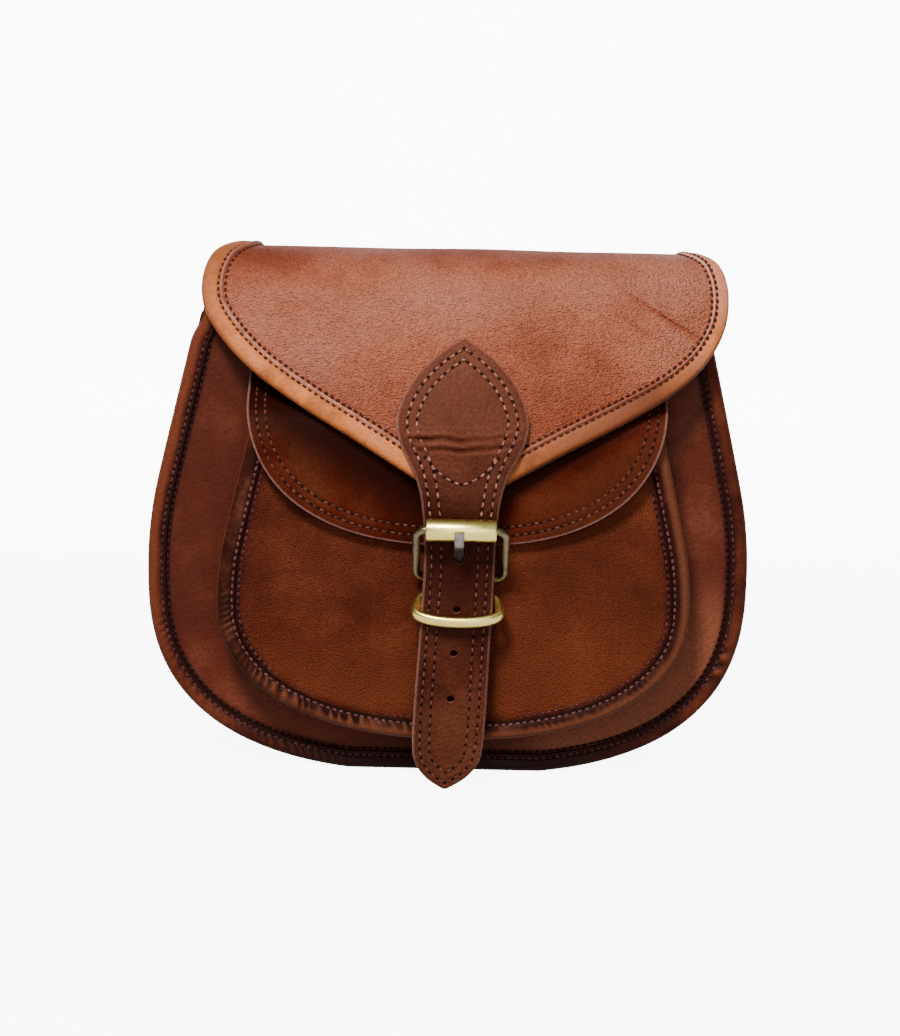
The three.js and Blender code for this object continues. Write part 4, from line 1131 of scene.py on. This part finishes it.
# Painted shade, painted highlights and darker patches on the flap, as tones
tone = RIGHT_HIGHLIGHT * smoothstep(x, 20, 90) - CREST_SHADE * (1 - smoothstep(down, 66, 84))
tone -= POINT_TONE * smoothstep(down, 104, 138) + CREASE_SHADE * crease_depth(x, down).clip(0)
for shade_x, shade_down, wide, shade in FLAP_HIGHLIGHTS_AND_DARKENING:
    tone += shade * bell(x, shade_x, wide) * bell(down, shade_down, SHADE_TALL)
add_piece(
    "flap_hide",
    **hide,
    materials=[flap_leather],
    slot="leather_flap",
    replaced="main_flap",
    tone=np.r_[tone.ravel(), np.zeros(len(hide["points"]) - tone.size)],
)

# Flap edge
# A pale strip rolled over the flap's edge and sewn down with two rows of short sunk stitches. Its raw edge
# stands up as a thin pink ridge between the rows, and the roll is narrower on the right. Two more rows sew
# the flap's back edge to the back panel.

FLAP_BINDING_WIDTH = 8.5
ROLL_TOP, ROLL_UNDER, ROLL_SWELL = 2.2, -2.75, 0.4
ROLL_SINK = 3.2  # mm lost in height, for the share of width that is lost
ROLL_SHARE = (0, 0.15, 0.2, 0.26, 0.32, 0.45, 0.52, 0.585, 0.68, 0.73, 0.79, 1)  # along the edge
ROLL_TONE = (-0.7, -0.7, -0.5, -0.15, 0, 0, -0.3, -0.72, -0.98, -0.4, 0.7, 0.7)
UNDER_TONE = -0.3  # where the roll turns under
RIDGE, RIDGE_INSIDE, RIDGE_WIDE = 0.55, 1.1, 0.45  # mm high, mm inside the first row and mm wide
RIDGE_COLUMNS = 5
SEAT_ROWS = (3.5, 6.2)  # mm from the flap's back edge, where it is sewn to the back panel
SEAT_HALF = 74

tan_leather = dyed_leather(
    "tan_leather", (225, 126, 60), (113, 60, 36), (204, 131, 103), cloud=60, speck=0.2, crease=0.3,
    relief=0.22, rim_width=9.5, rim_amount=0.2,
)
ridge_leather = cut_edge("ridge_leather", (206, 140, 112), (140, 80, 58), (226, 166, 140))


def inset_roll(distance, depth):
    """Flat points of the flap's pattern at the roll's own depths from the edge."""
    return inset(flap_places(distance), roll_share(distance)[:, None] * depth)


u, v, _, upper = roll_section(FLAP_BINDING_WIDTH, FLAP_ROWS[0], ROLL_TOP, ROLL_UNDER, ROLL_SWELL)
distance = np.linspace(0, edge_length, round(edge_length / 0.62))
flat = inset_roll(distance, u)
height = np.tile(v, (len(distance), 1))
height[:, upper] -= row_groove(u[upper], distance[:, None], FLAP_ROWS[0], FLAP_PITCH, depth=0.55)
height[:, upper] += RIDGE * bell(u[upper], FLAP_ROWS[0] + RIDGE_INSIDE, RIDGE_WIDE)
height[:, upper] += undulation(distance[:, None], u[upper], height=0.1, seed=33, wavelength=20)
height[:, upper] -= ROLL_SINK * (1 - roll_share(distance))[:, None]
sections = flap_point(flat[..., 0], flat[..., 1]) + facing_of(flap_point, flat) * height[..., None]
tone = np.interp(distance / edge_length, ROLL_SHARE, ROLL_TONE)[:, None] + UNDER_TONE * (u < 1.2)
ridge_faces = np.tile(np.arange(len(u)) < RIDGE_COLUMNS, len(distance) - 1)
add_piece(
    "flap_edge_roll",
    *tube(sections),
    [tan_leather, ridge_leather],
    "leather_tan",
    "flap_binding",
    rim=np.tile(u, len(distance)),
    tone=tone.ravel(),
    edge_faces=np.r_[ridge_faces, False, False],
)

sunk_thread = waxed_thread("sunk_thread", (78, 28, 14), (46, 14, 7))
row_distance = np.linspace(2, edge_length - 2, 1200)
rows = [
    row_on(flap_point, inset_roll(row_distance, depth)[:, 0], height)
    for depth, height in zip(FLAP_ROWS, (ROLL_TOP - 0.3, FLAP / 2 - 0.15))
]
sew("flap", rows, FLAP_PITCH, sunk_thread, 71, length=1.85, width=1.2, lift=0.1)

rows = []
for down in SEAT_ROWS:
    path = np.column_stack([np.linspace(-SEAT_HALF, SEAT_HALF, 400), np.full(400, down)])
    height = FLAP / 2 - 0.1 + undulation(path[:, 0], path[:, 1], *FLAP_WAVES)
    rows.append(row_on(flap_point, path, height[:, None]))
sew("flap_seat", rows, FLAP_PITCH, maroon_thread, 77, length=1.9, width=0.9, lift=0.15, hole=1.3)

# Closure strap
# Two straps of dark hide sewn back to back. The top is cut to a spade and sewn on the flap, and the tail
# passes under the roller and through the keeper and hangs over the pouch's bottom edge.

STRAP = 3.0
STRAP_LINE = [
    (-38, 169.6), (-43.4, 157), (-51.1, 138.6), (-56.7, 118.4), (-57.8, 109), (-56, 101.6),
    (-53.9, 92), (-53.5, 81), (-53.8, 67), (-53.6, 40), (-52.4, 0.4),
]
SPADE = [
    (0, 0.8), (5.3, 8.3), (11, 14.3), (17, 18.9), (24, 22.3), (31.7, 24.2),
    (39, 23.2), (45.4, 20.4), (51.2, 17.4), (58, 15.2), (66, 13.9), (80, 13.1),
]
TAIL = [(17, 13.1), (11.5, 12.2), (7.5, 10.3), (4, 7.1), (1.3, 3.2), (0, 0.8)]
TAIL_LEAN_FROM, TAIL_LEAN = 84, -3.7
STRAP_ROWS = (2.6, 6.2)
SPADE_ROW_EXTRA = 1.1  # the rows lie further from the edge round the spade
SPADE_END = [(-13.6, 45.5), (-9, 50.6), (-4, 54), (0, 55.2), (4, 54), (9, 50.6), (13.6, 45.5)]
STRAP_PITCH = 3.5
LIT_THREAD_ABOVE = 102  # mm above the ground, below which the thread is a darker copy, as painted shade
STRAP_TONE_Z = (0, 30, 50, 62, 98, 108, 124, 140)  # painted shade from the keeper up past the roller, paler at both ends
STRAP_TONE = (0.3, 0.2, -0.2, -0.55, -0.9, -0.75, 0.0, 0.4)
HOLE_RADIUS = 1.5
HOLE_HEIGHTS = (70.3, 53.5, 35.8)
SLOT_HEIGHT, SLOT_HALF, SLOT_LONG = 91.6, 2.3, 8.6
PADDING, EDGE_DROP, ROW_DIP = 0.5, 0.5, 0.28  # mm, inside the spade, at the cut edge and at the rows
# Painted light on the raised folds and painted shade in the sunken ones
FOLD_LIGHT_AND_SHADE = 0.8
FOLDS = [  # down the strap, height, width and slope
    (34.6, 0.3, 0.8, -0.05), (37.0, 0.75, 0.9, -0.03), (38.7, -0.75, 0.6, -0.03), (40.6, 0.8, 1.0, -0.06),
    (42.5, -0.75, 0.6, -0.06), (44.2, 0.55, 1.1, -0.06), (47.6, -0.25, 0.5, 0.05), (58.0, 0.2, 2.0, 0.0),
    (62.0, -0.3, 0.5, 0.03),
]

strap_leather = dyed_leather(
    "strap_leather", (87, 40, 25), (44, 12, 5), (116, 65, 45), worn_lit_edge=(150, 102, 88), shine=0.05, gloss=0,
    pebble=900, wrinkle=230, crease=1.0, relief=0.42, depth=0.0012, cloud=30, rim_width=8, rim_amount=0.45,
    worn_lit_rim=0.5,
)

strap_line = smooth_line(STRAP_LINE)
strap_length = strap_line[0][-1]
spade_side = [(half, down) for down, half in SPADE]
tail_side = [(half, strap_length - up) for up, half in TAIL]
strap_edge = smooth_line([*spade_side, (SPADE[-1][1], strap_length * 0.65), *tail_side])


def strap_point(x, down):
    bent = at_distance(strap_line, np.clip(down, 0, strap_length))
    lean = TAIL_LEAN * np.maximum(0, 1 - bent[..., 1] / TAIL_LEAN_FROM)
    return np.stack([x + FLAP_SHIFT + lean, bent[..., 0], bent[..., 1]], -1)


def spade_extra(down):
    return SPADE_ROW_EXTRA * (1 - smoothstep(down, 44, 62))


edge = evenly(strap_edge, 420)
across = 2 * spread(columns=16, fine=14, share=0.3) - 1
x, down = np.broadcast_arrays(edge[:, :1] * across, edge[:, 1:])
rim = rim_distance(np.stack([x, down], -1), np.vstack([edge, edge[::-1] * [-1, 1]]))
surface = strap_point(x, down)
normal = grid_normals(surface)
folded = np.zeros(rim.shape)
for fold_down, fold_height, fold_wide, slope in FOLDS:
    wander = 0.5 * np.sin(x * 0.21 + 1) + 0.25 * np.sin(x * 0.55 + 2) + slope * x
    within = smoothstep(rim, 2, 6) * (0.65 + 0.35 * np.sin(x * 0.13 + fold_down * 3))
    folded += fold_height * within * bell(down, fold_down + wander, fold_wide)
detail = undulation(x, down, height=0.18, seed=41, wavelength=30)
detail += PADDING * smoothstep(rim, 6.4, 16) * (1 - smoothstep(down, 40, 60))
detail += folded - EDGE_DROP * bell(rim, 0, 0.5)
for row in STRAP_ROWS:
    detail -= ROW_DIP * bell(rim, row + spade_extra(down), 0.6)
outer = surface + normal * (STRAP / 2 + detail)[..., None]
hide = thick_sheet(outer, surface - normal * STRAP / 2, rim, swell=0.35)
# Painted shade from the keeper up past the roller, paler at both ends
tone = np.interp(hide["points"][:, 2], STRAP_TONE_Z, STRAP_TONE)
# Painted light on the raised folds and painted shade in the sunken ones
tone[: rim.size] += FOLD_LIGHT_AND_SHADE * folded.ravel()
strap = add_piece(
    "strap_hide",
    **hide,
    materials=[strap_leather, pale_cut],
    slot="leather_dark",
    replaced="closure_strap",
    tone=tone,
)


def punch(piece, cutters):
    """Cuts holes through a piece and leaves it a plain mesh."""
    for cutter in cutters:
        modifier = piece.modifiers.new("punch", "BOOLEAN")
        modifier.operation = "DIFFERENCE"
        modifier.solver = "EXACT"
        modifier.object = cutter
    graph = bpy.context.evaluated_depsgraph_get()
    cut_mesh = bpy.data.meshes.new_from_object(piece.evaluated_get(graph))
    piece.modifiers.clear()
    old = piece.data
    piece.data = cut_mesh
    bpy.data.meshes.remove(old)
    cut_mesh.name = piece.name
    for cutter in cutters:
        bpy.data.objects.remove(cutter)


def punch_pin(x, z, height, depth):
    """A straight punch along Y with the given outline in mm, for a hole at a height on the strap."""
    middle = strap_point(np.array(0.0), np.interp(-height, -strap_line[1][:, 1], strap_line[0]))
    ends = [middle + np.column_stack([x, np.full(len(x), y), z]) for y in (-depth, depth)]
    return add_object("punch_pin", outward_mesh("punch_pin", *tube(np.stack(ends))))


turn = np.linspace(0, 2 * math.pi, 24, endpoint=False)
x, z = np.cos(turn), np.sin(turn)
pins = [punch_pin(HOLE_RADIUS * x, HOLE_RADIUS * z, height, depth=4) for height in HOLE_HEIGHTS]
slot_x = SLOT_HALF * x * np.where(z > 0, 1, 0.85)
pins.append(punch_pin(slot_x, SLOT_LONG / 2 * z, SLOT_HEIGHT, depth=5))
punch(strap, pins)

# The strap's thread below that height is a darker copy: painted shade
tan_thread = waxed_thread("tan_thread", (176, 126, 110), (100, 56, 46))
shaded_thread = waxed_thread("shaded_thread", (122, 76, 66), (62, 30, 25))
side = evenly(strap_edge, 900)
outline = np.vstack([side[::-1] * [-1, 1], side])
spade_rows, tail_rows = [], []
for depth in STRAP_ROWS:
    depths = depth + spade_extra(outline[:, 1])
    path = flat_inset(outline, -depths[:, None])
    path = path[rim_distance(path, outline) > depths - 0.15]
    row, facing = row_on(strap_point, path, STRAP / 2 - 0.12)
    lit, shaded = np.flatnonzero(row[:, 2] > LIT_THREAD_ABOVE)[[0, -1]]
    spade_rows.append((row[lit:shaded], facing[lit:shaded]))
    tail_rows += [(row[:lit], facing[:lit]), (row[shaded:], facing[shaded:])]
spade_rows.append(row_on(strap_point, smooth_line(SPADE_END, 200)[1], STRAP / 2 + 0.1))
sew("spade", spade_rows, STRAP_PITCH, tan_thread, 81, length=2.2, width=0.88, lift=0.18, hole=1.35)
sew("strap", tail_rows, STRAP_PITCH, shaded_thread, 91, length=2.2, width=0.8, lift=0.15, hole=1.3)

# Buckle and keeper
# A roller buckle and a bowed keeper of cast and plated brass, browned in cloudy patches. A tab of leather
# folded round their back bars holds them on the pocket's face.

HARDWARE_SHIFT = 4.8
WIRE = 1.5
BUCKLE_HALF, BUCKLE_CORNER = 16.6, 4
PIVOT, BAR = np.array([-48, 80.9]), np.array([-62.3, 101.6])
ROLLER_RADIUS, ROLLER_HALF = 4.2, 13
PRONG_LINE = [(-49.4, 82.8), (-53.2, 89.6), (-59.6, 93.8), (-66.8, 97), (-68.2, 101.8)]
PRONG_HALF, PRONG_THICK, PRONG_SHIFT, PRONG_COIL = 1.8, 1.76, -0.7, 2.1
KEEPER_WIRE, KEEPER_TALL, KEEPER_SHIFT = 1.7, 1.4, -0.6
KEEPER_HALF, KEEPER_CORNER, KEEPER_BOW = 15.7, 4, 5
KEEPER_BACK, KEEPER_FRONT = np.array([-48.2, 73.6]), np.array([-59.3, 66.2])
TAB_HALF, TAB_LAYER, TAB_TAIL = 11, 1.5, 48
NEAR_RIM = 6  # mm from an edge, where the leather is a little darker


def aged_brass(name, bright, dull, roughness, patina):
    """Plated brass, browned in cloudy patches and bright between them, with fine scratches."""
    brass, tree, metal = new_material(name)
    place = object_place(tree)
    cloud = noise(tree, place, 190.0, Detail=5.0, Roughness=0.65)
    scratch = noise(tree, place, 1400.0, Detail=2.0)
    stain = map_range(tree, cloud, 0.52, 0.34, most=patina)
    wire(tree, metal, {"Base Color": mix_colour(tree, stain, srgb(bright), srgb(dull)), "Metallic": 1})
    wire(tree, metal, {"Roughness": map_range(tree, cloud, 0.3, 0.7, roughness + 0.12, roughness)})
    wire(tree, metal, {"Normal": relief_of(tree, scratch, strength=0.08, distance=0.0003)})
    return brass


antique_brass = aged_brass("antique_brass", (132, 118, 90), (52, 42, 30), roughness=0.3, patina=0.85)
worn_steel = aged_brass("worn_steel", (150, 142, 142), (88, 78, 78), roughness=0.36, patina=0.7)
pale_brass = aged_brass("pale_brass", (255, 236, 134), (230, 198, 104), roughness=0.24, patina=0.4)


def arc(middle, radii, start, stop, count=12):
    """Part of an ellipse, from one quarter turn to another."""
    turn = np.linspace(start, stop, count) * math.pi / 2
    return np.column_stack([middle[0] + radii[0] * np.cos(turn), middle[1] + radii[1] * np.sin(turn)])


def closed_tube(sections):
    """Sections carried round a closed path."""
    count, around = sections.shape[:2]
    faces = grid_faces(count + 1, around, wrap=True) % (count * around)
    return sections.reshape(-1, 3), faces.tolist()


def wire_loop(arcs, wire, low, high, shift=0, squash=1.0):
    """A round wire bent along a closed flat path, in the plane of X and the line from low to high."""
    path = evenly(measured(np.vstack([*arcs, arcs[0][:1]])), 161)[:-1]
    up = np.r_[0, unit(high - low)]
    side = np.array([1.0, 0, 0])
    along = unit(np.roll(path, -1, 0) - np.roll(path, 1, 0))
    out = along[:, 1:] * side - along[:, :1] * up
    spine = np.r_[HARDWARE_SHIFT + shift, low] + path[:, :1] * side + path[:, 1:] * up
    turn = np.linspace(0, 2 * math.pi, 20, endpoint=False)[None, :, None]
    round_wire = np.cos(turn) * out[:, None] + squash * np.sin(turn) * np.cross(side, up)
    return closed_tube(spine[:, None] + wire * round_wire)


corner = (BUCKLE_CORNER, BUCKLE_CORNER)
near, far = BUCKLE_CORNER, np.linalg.norm(BAR - PIVOT) - BUCKLE_CORNER
across = BUCKLE_HALF - BUCKLE_CORNER
arcs = [
    arc((-across, near), corner, 2, 3),
    arc((across, near), corner, 3, 4),
    arc((across, far), corner, 0, 1),
    arc((-across, far), corner, 1, 2),
]
loop = wire_loop(arcs, WIRE, PIVOT, BAR)
add_piece("buckle_wire", *loop, [antique_brass], "brass_antique", "buckle_frame")

deep = np.linalg.norm(KEEPER_FRONT - KEEPER_BACK) - KEEPER_BOW
across = KEEPER_HALF - KEEPER_CORNER
arcs = [
    arc((-across, deep), (KEEPER_CORNER, deep), 2, 3),
    arc((across, deep), (KEEPER_CORNER, deep), 3, 4),
    arc((0, deep), (KEEPER_HALF, KEEPER_BOW), 0, 2, 40)[1:-1],
]
loop = wire_loop(arcs, KEEPER_WIRE, KEEPER_BACK, KEEPER_FRONT, KEEPER_SHIFT, KEEPER_TALL)
add_piece("keeper_ring", *loop, [pale_brass], "brass_pale", "keeper_loop")

lip = np.array([(-0.5, 0), (-0.15, -0.12), (0, -0.45)]) + [ROLLER_RADIUS, ROLLER_HALF]
end = np.vstack([[(WIRE + 0.1, ROLLER_HALF)], lip])
radius, along = np.vstack([end * [1, -1], [(ROLLER_RADIUS, 0)], end[::-1]]).T
turn = np.linspace(0, 2 * math.pi, 48, endpoint=False)[:, None]
sections = np.broadcast_arrays(
    HARDWARE_SHIFT + along, BAR[0] + np.cos(turn) * radius, BAR[1] + np.sin(turn) * radius
)
roller = closed_tube(np.stack(sections, -1))
add_piece("roller", *roller, [pale_brass], "brass_pale", "buckle_roller", sharp=35)


def bent_bar(line, thick, half, shift=0, corner=0.35):
    """A flat bar or strip bent along a line in the YZ plane, with its long edges rounded."""
    off = left_of(np.gradient(line, axis=0))
    t = thick / 2
    edge = np.array([(half - corner, t), (half - corner * 0.3, t - corner * 0.3), (half, t - corner)])
    quarter = np.vstack([edge, edge[::-1] * [1, -1]])
    section = np.vstack([quarter, quarter[::-1] * [-1, 1]])
    x = np.broadcast_to(HARDWARE_SHIFT + shift + section[:, 0], (len(line), len(section)))
    yz = line[:, None] + off[:, None] * section[None, :, 1:]
    return tube(np.concatenate([x[..., None], yz], -1))


coil = arc(PIVOT, (PRONG_COIL, PRONG_COIL), 3.5, 0.7, 40)
prong_line = evenly(measured(np.vstack([coil, evenly(smooth_line(PRONG_LINE, 300), 60)])), 130)
bar = bent_bar(prong_line, PRONG_THICK, PRONG_HALF, PRONG_SHIFT, corner=0.5)
add_piece("prong", *bar, [worn_steel], "brass_antique", "buckle_prong")


def before_pocket(gap, z):
    return -(half_depth(z) + POCKET_FACE + POCKET_DOME + 0.3) - gap, z


bend = WIRE + 0.1 + TAB_LAYER / 2
tab_knots = [
    [before_pocket(2.3, TAB_TAIL), before_pocket(2.6, 60), (-49.6, 68.2), (-51, 73.6), (-50.5, 78)],
    arc(PIVOT, (-bend, bend), 0, 2, 24),
    [(-45.3, 76), before_pocket(0.8, 70), before_pocket(0.8, 60), before_pocket(0.8, TAB_TAIL)],
]
tab = bent_bar(evenly(smooth_line(np.vstack(tab_knots), 400), 110), TAB_LAYER, TAB_HALF)
add_piece("buckle_tab", *tab, [strap_leather], "leather_dark", "buckle_chape", rim=NEAR_RIM)

# Strap loops
# A short strip folded into a loop at each end of the gusset, sewn on below, for the ends of a carrying
# strap.

LOOP_WIDE, LOOP_WALL, LOOP_GAP, LOOP_HIGH, LOOP_TAIL = 16, 1.6, 6, 22, 14
LOOP_SEAT, LOOP_SHARE = 10.2, 0.012
LOOP_SECTION = np.array([(1, 0.94), (0.5, 1), (-0.5, 1), (-1, 0.94)]) * [LOOP_WALL / 2, LOOP_WIDE / 2]

thick = LOOP_GAP + 2 * LOOP_WALL
mid = LOOP_WALL / 2
bend = thick / 2 - mid
back = thick - mid
loop_knots = [
    [(mid, -LOOP_HIGH - LOOP_TAIL), (mid, -LOOP_HIGH), (mid, -thick)],
    arc((thick / 2, -thick / 2), (-bend, bend), 0, 2, 20),
    [(back, -thick), (back, thick / 2 - LOOP_HIGH), (mid + 2.2, -LOOP_HIGH), (mid + 1.6, -LOOP_HIGH - 4)],
]
loop_path = evenly(smooth_line(np.vstack(loop_knots), 400), 90)
section = np.vstack([LOOP_SECTION * [1, -1], LOOP_SECTION[::-1]])
places = seam(BODY, spacing=0.5)
lean = math.radians(BODY["lean"])
for name, side, share in (("left", -1, LOOP_SHARE), ("right", 1, 1 - LOOP_SHARE)):
    nearest = np.abs(places[0] - share * places[0][-1]).argmin()
    foot = inset(places, LOOP_SEAT)[nearest, 0]
    out = np.array([math.cos(lean) * side, math.sin(lean)])
    up = np.array([-math.sin(lean) * side, math.cos(lean)])
    flat = foot + loop_path[:, :1] * out + loop_path[:, 1:] * up
    xz = flat[:, None] + left_of(np.gradient(flat, axis=0))[:, None] * section[None, :, :1]
    y = np.broadcast_to(section[:, 1], xz.shape[:2])
    add_piece(
        f"strap_loop_{name}_strip",
        *tube(np.stack([xz[..., 0], y, xz[..., 1]], -1)),
        [panel_leather],
        "leather_body",
        f"strap_loop_{name}",
        rim=NEAR_RIM,
    )
